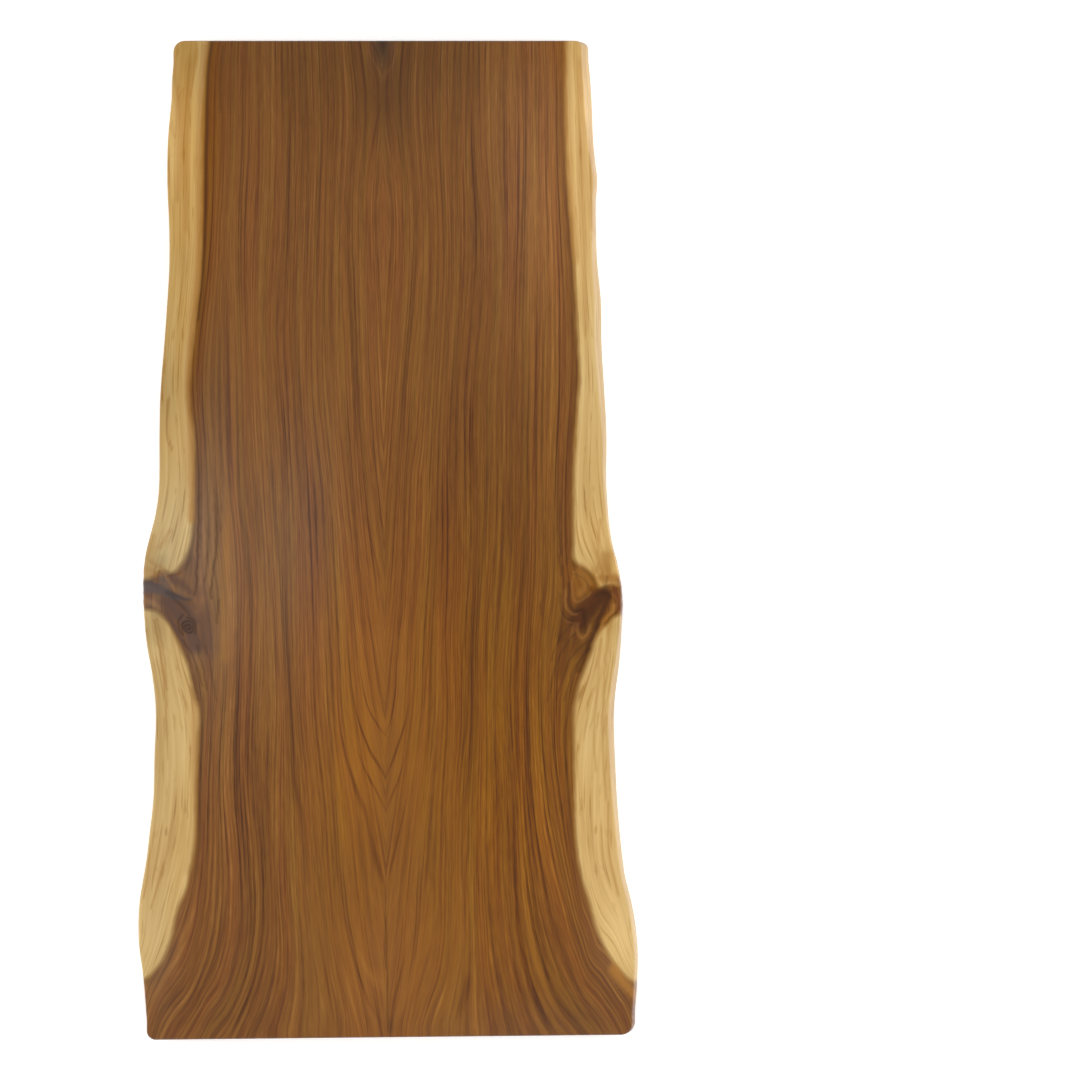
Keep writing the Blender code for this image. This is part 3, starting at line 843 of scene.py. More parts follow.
RIGHT_STROKES = (
    # Knot: the dark spike of the branch and the brown wood beside it
    Stroke(Stain.UMBER, 18, 0.97, ((-113, 441), (-124, 426), (-136, 412), (-150, 399), (-162, 392)), 27, 4),
    Stroke(Stain.UMBER, 5, 0.62, ((-178, 424), (-196, 413), (-218, 406), (-240, 399), (-266, 389)), 5, 3),
    Stroke(Stain.UMBER, 9.5, 0.97, ((-114, 450), (-120, 448), (-136, 442), (-150, 434), (-164, 428), (-182, 420)),
           6, 3),
    Stroke(Stain.UMBER, 26, 0.5, ((-160, 389), (-192, 385), (-222, 388)), 20),
    Stroke(Stain.UMBER, 16, 0.45, ((-150, 369), (-172, 362), (-200, 359)), 14, 3),
    Stroke(Stain.UMBER, 9, 0.3, ((-205, 406), (-235, 398), (-262, 390)), 8),
    Stroke(Stain.UMBER, 20, 0.3, ((-195, 372), (-230, 364), (-275, 350)), 12),
    Stroke(Stain.UMBER, 5, 0.85, ((-98, 446), (-97, 454), (-102, 463)), 3.5, 2.5),
    Stroke(Stain.DARK, 4, 0.35, ((-116, 452), (-109, 443), (-110, 432), (-117, 420)), 4, 2.2),
    Stroke(Stain.DARK, 5, 0.4, ((-146, 400), (-168, 399), (-188, 400)), 4),
    Stroke(Stain.RED, 8, 0.3, ((-112, 424), (-130, 407), (-150, 392), (-178, 390)), 9),
    Stroke(Stain.DARK, 3, 0.5, ((-172, 430), (-186, 422), (-206, 412), (-228, 402)), 3),
    Stroke(Stain.AMBER, 13, 0.65, ((-36, 445), (-56, 443), (-76, 449), (-90, 457)), 12, 2.5),
    Stroke(Stain.AMBER, 12, 0.9, ((-80, 438), (-80, 452), (-82, 468)), 12, 3),
    Stroke(Stain.AMBER, 6, 0.45, ((-33, 438), (-54, 430), (-69, 426)), 4),
    Stroke(Stain.AMBER, 5, 0.6, ((-54, 394), (-64, 408), (-80, 421), (-94, 426)), 3),
    Stroke(Stain.AMBER, 4.5, 0.66, ((-136, 460), (-145, 457), (-156, 447), (-169, 439), (-181, 434)), 4, 3),
    Stroke(Stain.PALE, 2.4, 0.5, ((-112, 458), (-120, 466), (-134, 470)), 2.4),
    Stroke(Stain.RED, 4.5, 0.5, ((-84, 472), (-109, 475), (-146, 475)), 5, 3),
    Stroke(Stain.RED, 3.2, 0.8, ((-97, 458), (-106, 461), (-116, 467), (-133, 470), (-143, 470)), 2.6),
    Stroke(Stain.DARK, 1.9, 0.4, ((-148, 464), (-160, 452), (-172, 440))),
    Stroke(Stain.DARK, 1.8, 0.45, ((-76, 448), (-90, 443), (-99, 440))),
    # The ear of wood above it
    Stroke(Stain.DARK, 3, 0.45, ((-60, 396), (-69, 408), (-83, 419), (-95, 424)), 2.6, 2.4),
    Stroke(Stain.AMBER, 9, 0.4, ((-70, 392), (-84, 402), (-98, 402), (-111, 391)), 7),
    Stroke(Stain.AMBER, 8, 0.6, ((-64, 392), (-76, 405), (-90, 412)), 6),
    Stroke(Stain.DARK, 2, 0.5, ((-70, 384), (-78, 395), (-89, 404), (-103, 407))),
    Stroke(Stain.PALE, 2, 0.5, ((-67, 379), (-75, 394), (-88, 402), (-103, 407))),
    Stroke(Stain.PALE, 2.4, 0.6, ((-77, 377), (-107, 376), (-122, 378), (-128, 388), (-121, 400), (-109, 414)), 2.2),
    Stroke(Stain.DARK, 2.6, 0.6, ((-90, 370), (-124, 369), (-140, 374), (-146, 385), (-142, 396)), 2.4),
    Stroke(Stain.PALE, 2.2, 0.8, ((-104, 362), (-124, 361), (-141, 364), (-152, 374), (-153, 386))),
    Stroke(Stain.DARK, 2.2, 0.5, ((-111, 352), (-138, 351), (-157, 359), (-165, 375)), 2),
    Stroke(Stain.PALE, 1.8, 0.4, ((-132, 349), (-153, 354), (-166, 366), (-171, 379))),
    # Lines round its point and below it
    Stroke(Stain.PALE, 2.2, 0.45, ((-169, 383), (-183, 377), (-204, 372)), 2),
    Stroke(Stain.PALE, 2.8, 0.75, ((-171, 388), (-186, 385), (-196, 390), (-200, 397), (-189, 406), (-173, 411)), 2.2),
    Stroke(Stain.DARK, 2, 0.5, ((-172, 392), (-187, 394), (-191, 401))),
    Stroke(Stain.PALE, 2, 0.35, ((-181, 384), (-197, 389), (-204, 399))),
    Stroke(Stain.DARK, 2.4, 0.5, ((220, 349), (49, 350), (-5, 351), (-48, 352), (-73, 354)), rise=0.6),
    Stroke(Stain.DARK, 2.4, 0.4, ((180, 366), (49, 363), (-6, 364), (-52, 364)), rise=0.6),
    Stroke(Stain.DARK, 2.4, 0.4, ((200, 317), (50, 318), (-26, 319), (-90, 317), (-153, 314)), rise=0.5),
    Stroke(Stain.PALE, 3, 0.3, ((200, 357), (49, 357), (-5, 358), (-52, 358)), rise=0.6),
    Stroke(Stain.DARK, 1.8, 0.45, ((-324, 326), (-284, 335), (-244, 347), (-214, 363), (-192, 381)), 2.2),
    Stroke(Stain.DARK, 1.8, 0.45, ((-324, 342), (-284, 355), (-244, 371), (-220, 391), (-204, 411)), 2.2),
    Stroke(Stain.DARK, 1.8, 0.45, ((-324, 360), (-274, 375), (-244, 391), (-220, 411)), 2.2),
    Stroke(Stain.DARK, 1.8, 0.4, ((-244, 333), (-214, 343), (-192, 357), (-172, 375))),
    # The sapwood, deeper in colour beside the heartwood, and its streaks
    Stroke(Stain.AMBER, 8, 0.5, ((990, 374), (798, 374), (718, 377), (638, 383), (558, 388)), 6),
    Stroke(Stain.AMBER, 3, 0.4, ((-204, 433), (-304, 425), (-404, 418), (-465, 422)), 2.4),
    Stroke(Stain.AMBER, 3, 0.45, ((-164, 453), (-284, 439), (-425, 436), (-525, 442)), 2.4),
    Stroke(Stain.AMBER, 2.4, 0.55, ((-525, 446), (-625, 447), (-715, 465))),
    Stroke(Stain.AMBER, 4, 0.4, ((36, 432), (-14, 428), (-64, 436)), 3),
    Stroke(Stain.AMBER, 6, 0.3, ((978, 417), (758, 416), (617, 419)), 5),
    Stroke(Stain.AMBER, 7, 0.3, ((958, 397), (678, 401), (417, 406)), 6),
    Stroke(Stain.AMBER, 12, 0.75, ((-865, 456), (-896, 480), (-922, 508)), 8, 3),
    # The dark line that comes and goes on the seam
    Stroke(Stain.DARK, 1.9, 0.55, ((-760, 1.2), (-835, 0.4), (-900, 1.4), (-962, 0.8)), rise=0.2),
    Stroke(Stain.DARK, 7, 0.4, ((-940, 0), (-978, 3)), 13, rise=0.8),
)

LEFT_PATCHES = (
    Patch(Cast.LIGHT, -0.06, 820, 60, 120, 120),
    Patch(Cast.LIGHT, -0.07, -790, 150, 150, 50),
    Patch(Cast.LIGHT, -0.24, 930, 150, 260, 230),
    Patch(Cast.LIGHT, -0.14, 985, 110, 90, 200),
    Patch(Cast.LIGHT, -0.23, 890, 0, 88, 42),
    Patch(Cast.VIOLET, -0.15, 940, 170, 190, 230),
    Patch(Cast.LIGHT, -0.36, 990, 3, 40, 18),
    Patch(Cast.VIOLET, 0.6, 988, 4, 38, 19),
    Patch(Cast.LIGHT, -0.05, 500, 160, 260, 200),
    Patch(Cast.LIGHT, -0.04, 350, 200, 300, 150),
    Patch(Cast.LIGHT, -0.18, 310, 345, 130, 34),
    # Painted sheen: these four patches make a lighter, greyer stretch down the left board's middle that stands in for
    # the lacquer's broad sheen there.
    Patch(Cast.VIOLET, 1.1, -20, 355, 330, 58),
    Patch(Cast.VIOLET, 0.6, -20, 230, 260, 100),
    Patch(Cast.VIOLET, 0.35, 60, 140, 220, 70),
    Patch(Cast.LIGHT, 0.10, -40, 200, 240, 120),
    Patch(Cast.LIGHT, 0.10, 530, 40, 80, 45),
    Patch(Cast.GOLD, 0.7, -420, 40, 460, 120),
    Patch(Cast.GOLD, 0.35, -600, 130, 330, 150),
    Patch(Cast.LIGHT, 0.20, -260, 50, 240, 70),
    Patch(Cast.LIGHT, 0.22, -480, 50, 120, 60),
    Patch(Cast.LIGHT, 0.20, -870, 45, 170, 60),
    Patch(Cast.LIGHT, -0.12, -600, 260, 260, 50),
    Patch(Cast.LIGHT, -0.12, -940, 330, 100, 150),
    Patch(Cast.CALM, 0.55, -450, 20, 260, 90),
    Patch(Cast.CALM, 0.5, -870, 70, 150, 120),
    Patch(Cast.CALM, 0.4, 870, 10, 90, 50),
    Patch(Cast.CALM, 0.75, -140, 400, 90, 46),
    Patch(Cast.CALM, 0.35, 60, 370, 170, 40),
    Patch(Cast.CALM, 0.32, 800, 310, 170, 70),
    Patch(Cast.CALM, 0.24, 380, 330, 110, 50),
    # Sapwood: more orange toward the head end, greyer toward the foot end
    Patch(Cast.LIGHT, -0.21, 990, 400, 90, 60),
    Patch(Cast.LIGHT, 0.13, 800, 412, 90, 30),
    Patch(Cast.VIOLET, 1.3, 810, 414, 100, 24),
    Patch(Cast.LIGHT, -0.12, 555, 396, 50, 14),
    Patch(Cast.LIGHT, -0.16, -50, 455, 45, 44),
    Patch(Cast.LIGHT, -0.12, -185, 455, 45, 30),
    Patch(Cast.LIGHT, -0.22, 400, 430, 300, 45),
    Patch(Cast.LIGHT, -0.12, 300, 440, 80, 30),
    Patch(Cast.VIOLET, -1.8, 930, 400, 420, 52),
    Patch(Cast.VIOLET, -1.2, 400, 430, 230, 46),
    Patch(Cast.LIGHT, -0.12, -300, 450, 330, 50),
    Patch(Cast.VIOLET, 1.7, 20, 430, 100, 50),
    Patch(Cast.VIOLET, 0.3, -100, 470, 120, 40),
    Patch(Cast.VIOLET, 1.1, -128, 464, 22, 30),
    Patch(Cast.VIOLET, 1.1, -84, 436, 17, 20),
    Patch(Cast.VIOLET, 0.6, -62, 468, 20, 20),
    Patch(Cast.LIGHT, 0.09, -92, 480, 16, 14),
    Patch(Cast.LIGHT, 0.09, -42, 373, 60, 22),
    Patch(Cast.LIGHT, 0.09, -100, 368, 30, 12),
    Patch(Cast.LIGHT, 0.12, -160, 314, 100, 16),
    Patch(Cast.VIOLET, 0.25, -160, 314, 100, 18),
    Patch(Cast.LIGHT, 0.12, -232, 380, 24, 13),
    Patch(Cast.LIGHT, -0.15, -120, 330, 45, 10),
    Patch(Cast.LIGHT, -0.11, -99, 420, 10, 15),
    Patch(Cast.LIGHT, -0.09, -116, 388, 16, 14),
    Patch(Cast.LIGHT, -0.12, -212, 366, 14, 10),
    Patch(Cast.LIGHT, -0.12, -40, 445, 14, 12),
    Patch(Cast.LIGHT, 0.14, -67, 445, 9, 10),
    Patch(Cast.LIGHT, 0.12, -64, 414, 10, 8),
    Patch(Cast.LIGHT, -0.14, -147, 461, 12, 10),
    Patch(Cast.LIGHT, -0.06, -122, 350, 40, 12),
    Patch(Cast.LIGHT, -0.14, -196, 368, 22, 12),
    Patch(Cast.VIOLET, 0.8, -105, 410, 10, 10),
    Patch(Cast.LIGHT, 0.08, -35, 431, 25, 14),
    Patch(Cast.VIOLET, 0.8, -35, 431, 25, 16),
    Patch(Cast.LIGHT, -0.10, -170, 464, 30, 20),
    Patch(Cast.LIGHT, 0.08, -228, 456, 22, 22),
    Patch(Cast.VIOLET, 0.5, -228, 456, 22, 22),
    Patch(Cast.CALM, 0.26, 380, 140, 100, 330),
    Patch(Cast.CALM, -0.3, -440, 280, 160, 90),
    Patch(Cast.VIOLET, 0.4, -232, 380, 24, 15),
    Patch(Cast.LIGHT, -0.08, -160, 359, 24, 13),
    Patch(Cast.LIGHT, 0.07, -400, 348, 220, 26),
    Patch(Cast.VIOLET, 0.5, -520, 460, 380, 50),
    Patch(Cast.VIOLET, 0.8, -790, 470, 110, 40),
)
RIGHT_PATCHES = (
    Patch(Cast.LIGHT, -0.07, 820, 25, 110, 60),
    Patch(Cast.LIGHT, -0.24, 950, 60, 220, 160),
    Patch(Cast.LIGHT, -0.16, 985, 130, 90, 180),
    Patch(Cast.LIGHT, -0.23, 890, 0, 88, 42),
    Patch(Cast.VIOLET, -0.1, 985, 170, 60, 230),
    Patch(Cast.LIGHT, -0.36, 990, 2, 40, 16),
    Patch(Cast.VIOLET, 0.6, 988, 4, 38, 19),
    Patch(Cast.LIGHT, 0.32, 700, 325, 340, 48),
    Patch(Cast.VIOLET, 0.35, 720, 290, 280, 90),
    Patch(Cast.LIGHT, -0.05, 620, 140, 300, 130),
    Patch(Cast.LIGHT, -0.13, 260, 190, 220, 150),
    Patch(Cast.LIGHT, -0.08, 240, 255, 170, 50),
    Patch(Cast.LIGHT, -0.10, -120, 300, 260, 100),
    Patch(Cast.GOLD, 1.0, -420, 220, 640, 270),
    Patch(Cast.VIOLET, -0.14, -380, 230, 560, 230),
    Patch(Cast.LIGHT, 0.08, 540, 50, 80, 55),
    Patch(Cast.LIGHT, 0.10, -350, 338, 230, 28),
    Patch(Cast.LIGHT, 0.08, 540, 350, 90, 30),
    Patch(Cast.LIGHT, 0.12, -260, 50, 140, 60),
    Patch(Cast.LIGHT, 0.14, -470, 50, 110, 60),
    Patch(Cast.LIGHT, 0.17, -860, 50, 200, 70),
    Patch(Cast.LIGHT, -0.05, -260, 240, 240, 60),
    Patch(Cast.LIGHT, 0.10, -600, 280, 300, 80),
    Patch(Cast.VIOLET, 0.3, -990, 300, 60, 200),
    Patch(Cast.LIGHT, -0.12, -960, 370, 70, 120),
    Patch(Cast.CALM, 0.55, -450, 20, 260, 90),
    Patch(Cast.CALM, 0.5, -870, 70, 150, 120),
    Patch(Cast.CALM, 0.4, 870, 10, 90, 50),
    Patch(Cast.CALM, 0.75, -150, 405, 90, 50),
    Patch(Cast.LIGHT, 0.12, -88, 395, 16, 14),
    Patch(Cast.LIGHT, 0.13, -36, 462, 30, 9),
    Patch(Cast.LIGHT, 0.16, -90, 428, 9, 9),
    Patch(Cast.LIGHT, 0.10, -66, 462, 12, 8),
    Patch(Cast.LIGHT, -0.13, -194, 344, 16, 10),
    Patch(Cast.LIGHT, -0.10, -178, 410, 20, 6),
    Patch(Cast.LIGHT, 0.13, -65, 361, 26, 7),
    Patch(Cast.CALM, 0.26, 380, 140, 100, 330),
    Patch(Cast.CALM, -0.3, -440, 280, 160, 90),
    # Sapwood: palest toward the foot end
    Patch(Cast.VIOLET, -0.5, 980, 395, 90, 40),
    Patch(Cast.LIGHT, 0.09, 690, 400, 200, 45),
    Patch(Cast.LIGHT, 0.22, 860, 408, 80, 20),
    Patch(Cast.VIOLET, 0.5, 860, 408, 80, 20),
    Patch(Cast.LIGHT, 0.11, 12, 420, 42, 40),
    Patch(Cast.LIGHT, -0.10, -70, 440, 40, 40),
    Patch(Cast.LIGHT, -0.12, -176, 453, 24, 16),
    Patch(Cast.VIOLET, -1.0, -176, 453, 24, 18),
    Patch(Cast.LIGHT, -0.10, -190, 470, 50, 10),
    Patch(Cast.VIOLET, -0.8, -65, 440, 45, 40),
    Patch(Cast.LIGHT, 0.12, -640, 435, 150, 46),
    Patch(Cast.LIGHT, 0.22, -800, 470, 90, 40),
    Patch(Cast.LIGHT, -0.14, -660, 505, 120, 22),
    Patch(Cast.VIOLET, 0.9, -790, 478, 110, 60),
    Patch(Cast.VIOLET, 0.5, -620, 430, 110, 40),
)

LEFT_DARK_LINES = (
    # The V at the head end and the narrow lines below it
    DarkLine(-89, 1000, 66, 17, 0.42), DarkLine(-74, 985, 44, 2.0, 0.30), DarkLine(-66, 950, 56, 2.2, -0.24),
    DarkLine(-67, 800, 110, 3, 0.26), DarkLine(-67, 560, 200, 3, 0.10),
    # The steep V toward the middle, and its points on the seam
    DarkLine(-43, 40, 150, 2, 0.14), DarkLine(-20, -40, 170, 2, 0.18), DarkLine(16, -140, 200, 2.2, 0.22),
    DarkLine(36, -230, 150, 1.8, 0.22), DarkLine(54, -330, 120, 2.0, 0.46), DarkLine(54, -170, 170, 1.8, 0.18),
    DarkLine(72, -410, 130, 2.0, 0.46), DarkLine(72, -240, 200, 1.8, 0.20), DarkLine(84, -490, 90, 1.7, 0.38),
    DarkLine(98, -430, 260, 2.6, 0.38), DarkLine(98, -640, 90, 1.3, 0.30),
    DarkLine(122, -480, 380, 2.4, 0.26), DarkLine(123, -880, 110, 2.4, 0.30), DarkLine(114, -860, 90, 3.0, -0.16),
    # The arches at the foot end
    DarkLine(150, -915, 80, 6, -0.24), DarkLine(165, -880, 90, 5, 0.16), DarkLine(182, -890, 90, 3.4, -0.24),
    DarkLine(193, -890, 110, 3.4, 0.30), DarkLine(205, -950, 60, 3, -0.14),
    # Toward the live edge
    DarkLine(152, 380, 160, 4, 0.12), DarkLine(184, 260, 260, 3, 0.16), DarkLine(203, -600, 230, 3, 0.20),
    DarkLine(214, -740, 220, 2, 0.20), DarkLine(246, -200, 260, 3, 0.18), DarkLine(268, -340, 160, 3, 0.16),
    DarkLine(300, -600, 170, 4, 0.18), DarkLine(326, 720, 300, 4, 0.18), DarkLine(352, 420, 460, 4, 0.28),
    DarkLine(366, 300, 500, 3, 0.24), DarkLine(376, 420, 620, 3, 0.30), DarkLine(374, -520, 360, 6, 0.24),
    DarkLine(332, 930, 110, 3, 0.20),
)
RIGHT_DARK_LINES = (
    # The V at the head end and the narrow lines below it
    DarkLine(-89, 1000, 66, 17, 0.42), DarkLine(-66, 950, 56, 2.2, -0.20), DarkLine(-67, 795, 78, 3, 0.30),
    DarkLine(-67, 720, 140, 2.4, 0.22), DarkLine(-67, 520, 220, 3, 0.12), DarkLine(-24, 640, 260, 4, 0.14),
    # The steep V toward the middle, and its points on the seam
    DarkLine(-20, -40, 150, 2, 0.16), DarkLine(16, -140, 180, 2.2, 0.18), DarkLine(36, -230, 150, 1.8, 0.18),
    DarkLine(54, -330, 120, 2.0, 0.44), DarkLine(54, -150, 200, 1.8, 0.20), DarkLine(72, -410, 110, 2.0, 0.46),
    DarkLine(84, -490, 90, 1.7, 0.36), DarkLine(98, -600, 130, 1.6, 0.34),
    DarkLine(80, -90, 240, 3, 0.16), DarkLine(106, -280, 180, 2.6, 0.26), DarkLine(124, -440, 240, 2.6, 0.28),
    DarkLine(122, -880, 110, 2.2, 0.20),
    # The arches at the foot end
    DarkLine(135, -905, 90, 5, -0.20), DarkLine(152, -890, 90, 5, 0.16), DarkLine(187, -930, 80, 3.4, -0.20),
    DarkLine(210, -915, 80, 5, 0.30), DarkLine(174, -900, 90, 3, 0.18),
    # Toward the live edge
    DarkLine(22, 700, 160, 4, 0.12), DarkLine(50, 580, 150, 4, 0.12), DarkLine(114, 560, 130, 4, 0.14),
    DarkLine(180, -240, 200, 3, 0.18), DarkLine(190, -380, 200, 3, 0.22), DarkLine(172, -740, 220, 3, 0.18),
    DarkLine(208, -660, 240, 2.6, 0.22), DarkLine(236, -160, 320, 3.5, 0.20), DarkLine(258, -580, 180, 4, 0.20),
    DarkLine(290, 900, 140, 5, 0.14), DarkLine(338, 520, 440, 4, 0.20), DarkLine(362, 460, 560, 4, 0.22),
    DarkLine(377, 460, 540, 4, 0.24), DarkLine(374, -520, 340, 6, 0.20),
)


@dataclass(frozen=True)
class Board:
    """One board of the pair, as a fine mesh that carries the figure of the wood."""

    side: Side
    node: str                      # the CAD solid that it stands for
    name: str
    lines: tuple[GrowthLine, ...]
    sap: tuple[Points, ...]
    strokes: tuple[Stroke, ...]
    patches: tuple[Patch, ...]
    dark_lines: tuple[DarkLine, ...]
    head_radius: float             # rounded corners, seen from above, in metres
    foot_radius: float
    stub_station: float            # middle of the branch stub on the live edge, in metres
    thickness: float = 0.050
    head_end: float = 0.99898      # along the seam, a hair inside the solid's
    foot_end: float = -0.99848
    head_skew: float = -0.0047     # rise of the end cut for each unit across
    foot_skew: float = 0.0060
    seam_x: float = -0.0040
    glue_half: float = 0.00001     # half the glue line, thin enough not to show
    arris: float = 0.003
    arris_steps: int = 4
    edge_levels: tuple[float, ...] = (0.047, 0.0375, 0.025, 0.0125, 0.003)
    belly: tuple[float, ...] = (0.040, 0.033, 0.025, 0.017, 0.010)
    corner_rows: int = 8
    row_step: float = 0.0095       # mesh steps along the board, away from the knot
    coarse_step: float = 0.0066    # across it
    fine_step: float = 0.0022      # both ways at the knot
    seam_steps: tuple[float, ...] = (0.0013, 0.0031)   # two narrow columns for the dark line on the seam
    fine_stations: tuple[float, float] = (-0.340, 0.060)
    fine_reach: float = 0.305      # from here outward
    edge_reach: float = 0.46
    wave: float = 0.0006           # depth of the hollows that the bark left
    wave_length: float = 0.055
    wave_height: float = 0.018
    slant: float = 0.25            # the branch leans towards the head end as it goes down

    def build(self, section: LogSection, finish: LacqueredSuar) -> bpy.types.Object:
        """Make the board and put it in its solid's place.

        Args:
            section: where the pith ran.
            finish: the wood's finish.

        Returns:
            The board's object.
        """
        rows = self.row_places()
        columns = self.column_shares()
        levels = self.level_insets()
        points, quads, corners = self.skin(rows, columns, levels)
        mesh = bpy.data.meshes.new(self.name)
        mesh.from_pydata(points.tolist(), [], quads.tolist())
        mesh.uv_layers.new(name=BAKE_MAP)
        mesh.uv_layers[BAKE_MAP].data.foreach_set("uv", corners.astype(np.float32).ravel())
        mesh.shade_smooth()
        mesh.set_sharp_from_angle(angle=math.radians(35))
        self.draw_figure(mesh, points, section)
        mesh.materials.append(finish.material(self.name + "_suar", self.dark_lines))
        board = bpy.data.objects.new(self.name, mesh)
        bpy.context.scene.collection.objects.link(board)
        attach(board, BODY)
        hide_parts(self.node)
        return board

    def row_places(self) -> Array:
        """Spread the rows along the board.

        Returns:
            One line for each row, foot to head: the turn of the rounded corner there, in radians,
            below zero at the foot and above it at the head, and the share of the way between the corners.
        """
        turns = np.linspace(math.pi / 2, 0.0, self.corner_rows, endpoint=False)
        low, high = self.foot_end + self.foot_radius, self.head_end - self.head_radius
        stops = [low, self.fine_stations[0], self.fine_stations[1], high]
        steps = [self.row_step, self.fine_step, self.row_step]
        spread = []
        for start, end, step in zip(stops, stops[1:], steps):
            spread.append(np.linspace(start, end, int((end - start) / step), endpoint=False))
        shares = (np.append(np.concatenate(spread), high) - low) / (high - low)
        foot = np.column_stack([-turns, np.zeros(len(turns))])
        middle = np.column_stack([np.zeros(len(shares)), shares])
        head = np.column_stack([turns[::-1], np.ones(len(turns))])
        return np.vstack([foot, middle, head])

    def column_shares(self) -> Array:
        """Spread the columns from the seam, 0, to the live edge, 1, finest by the edge."""
        bend = self.fine_reach / self.edge_reach
        inner = np.linspace(0.0, bend, int(self.fine_reach / self.coarse_step), endpoint=False)
        by_seam = [gap / self.edge_reach for gap in self.seam_steps]
        outer = np.linspace(bend, 1.0, int((self.edge_reach - self.fine_reach) / self.fine_step * 0.9))
        return np.sort(np.concatenate([by_seam, inner, outer]))

    def level_insets(self) -> list[tuple[float, float]]:
        """List the heights of the side rings, top to bottom, and how far the arris pulls each one in."""
        turns = [math.pi / 2 * k / self.arris_steps for k in range(self.arris_steps + 1)]
        arris = [(self.arris * (1 - math.cos(turn)), self.arris * (1 - math.sin(turn))) for turn in turns]
        top = [(self.thickness - drop, inset) for drop, inset in arris]
        belly = [(height, 0.0) for height in self.belly]
        return top + belly + list(reversed(arris))

    def station(self, rows: Array, reach: Array, inset: float) -> Array:
        """Find the station of each row at a reach, where the outline is pulled in by an inset."""
        turn, share = rows[:, 0], rows[:, 1]
        head = self.head_end + self.head_skew * self.side.value * reach
        foot = self.foot_end + self.foot_skew * self.side.value * reach
        low, high = foot + self.foot_radius, head - self.head_radius
        middle = low + (high - low) * share
        at_head = high + (self.head_radius - inset) * np.sin(turn)
        at_foot = low + (self.foot_radius - inset) * np.sin(turn)
        return np.where(turn > 0, at_head, np.where(turn < 0, at_foot, middle))

    def outer_reach(self, edge: LiveEdge, rows: Array, height: float, inset: float) -> Array:
        """Find how far out each row goes at one height, round the corners too."""
        turn = rows[:, 0]
        flat = rows * [0.0, 1.0]
        reach = np.full(len(rows), self.edge_reach)
        head = self.head_end - self.head_radius - 0.004
        foot = self.foot_end + self.foot_radius + 0.004
        for _ in range(3):
            stations = self.station(flat, reach, 0.0)
            reach = edge.reach(stations, height, head, foot)
        reach = reach - self.hollows(stations, height)
        radius = np.where(turn > 0, self.head_radius, self.foot_radius)
        rounded = reach - radius + (radius - inset) * np.cos(turn)
        return np.where(turn == 0, reach - inset, rounded)

    def hollows(self, stations: Array, height: float) -> Array:
        """Work out the shallow hollows that the bark left in the live edge."""
        found = np.empty(len(stations))
        for index, station in enumerate(stations):
            place = Vector((station / self.wave_length, height / self.wave_height, self.side.value * 3.1))
            ripple = noise.noise(place) + 0.5 * noise.noise(place * 2.3)
            stub = math.exp(-((station - self.stub_station) / 0.05)**2)
            ring = 0.5 + 0.5 * math.sin(abs(station - self.stub_station) / 0.0042)
            found[index] = self.wave * (0.5 + 0.4 * ripple) + 0.0007 * stub * ring
        return np.clip(found, 0.0, 0.0018)

    def skin(self, rows: Array, columns: Array, levels: list[tuple[float, float]]) -> tuple[Array, Array, Array]:
        """Lay out the whole closed skin: show face, side rings and underside.

        Args:
            rows: as row_places gives them.
            columns: as column_shares gives them.
            levels: as level_insets gives them.

        Returns:
            The points, the quads, and for each quad the bake map's place of its four corners.
        """
        edge = LiveEdge(self.node, self.side, self.seam_x + self.side.value * 0.00015, self.edge_levels)
        high, wide = len(rows), len(columns)
        rims = [self.outer_reach(edge, rows, height, inset) for height, inset in levels]

        def place(row: Array, column: Array, level: int) -> Array:
            height, inset = levels[level]
            reach = columns[column] * rims[level][row]
            station = self.station(rows[row], reach, inset)
            across = self.seam_x + self.side.value * (reach + self.glue_half)
            return np.column_stack([across, station, np.full(len(row), height)])

        row, column = (grid.ravel() for grid in np.mgrid[0:high, 0:wide])
        top = place(row, column, 0)
        bottom = place(row, column, len(levels) - 1)
        up, out = np.arange(high), np.arange(wide)
        loop_row = np.concatenate([up, np.full(wide - 2, high - 1), up[::-1], np.zeros(wide - 2, int)])
        loop_column = np.concatenate([np.zeros(high, int), out[1:-1], np.full(high, wide - 1), out[-2:0:-1]])
        around = len(loop_row)
        middles = [place(loop_row, loop_column, level) for level in range(1, len(levels) - 1)]
        points = np.vstack([top, bottom, *middles])

        rim = loop_row * wide + loop_column
        first_middle = 2 * high * wide
        rings = [rim]
        rings += [first_middle + k * around + np.arange(around) for k in range(len(middles))]
        rings.append(rim + high * wide)

        r, c = (grid.ravel() for grid in np.mgrid[0:high - 1, 0:wide - 1])
        square = np.column_stack([r * wide + c, r * wide + c + 1, (r + 1) * wide + c + 1, (r + 1) * wide + c])
        u = np.column_stack([c, c + 1, c + 1, c]) / (wide - 1)
        v = np.column_stack([r, r, r + 1, r + 1]) / (high - 1)
        quads = [square, square[:, ::-1] + high * wide]
        maps = [np.stack([u, 0.002 + 0.486 * v], axis=2), np.stack([u, 0.492 + 0.256 * v], axis=2)[:, ::-1]]

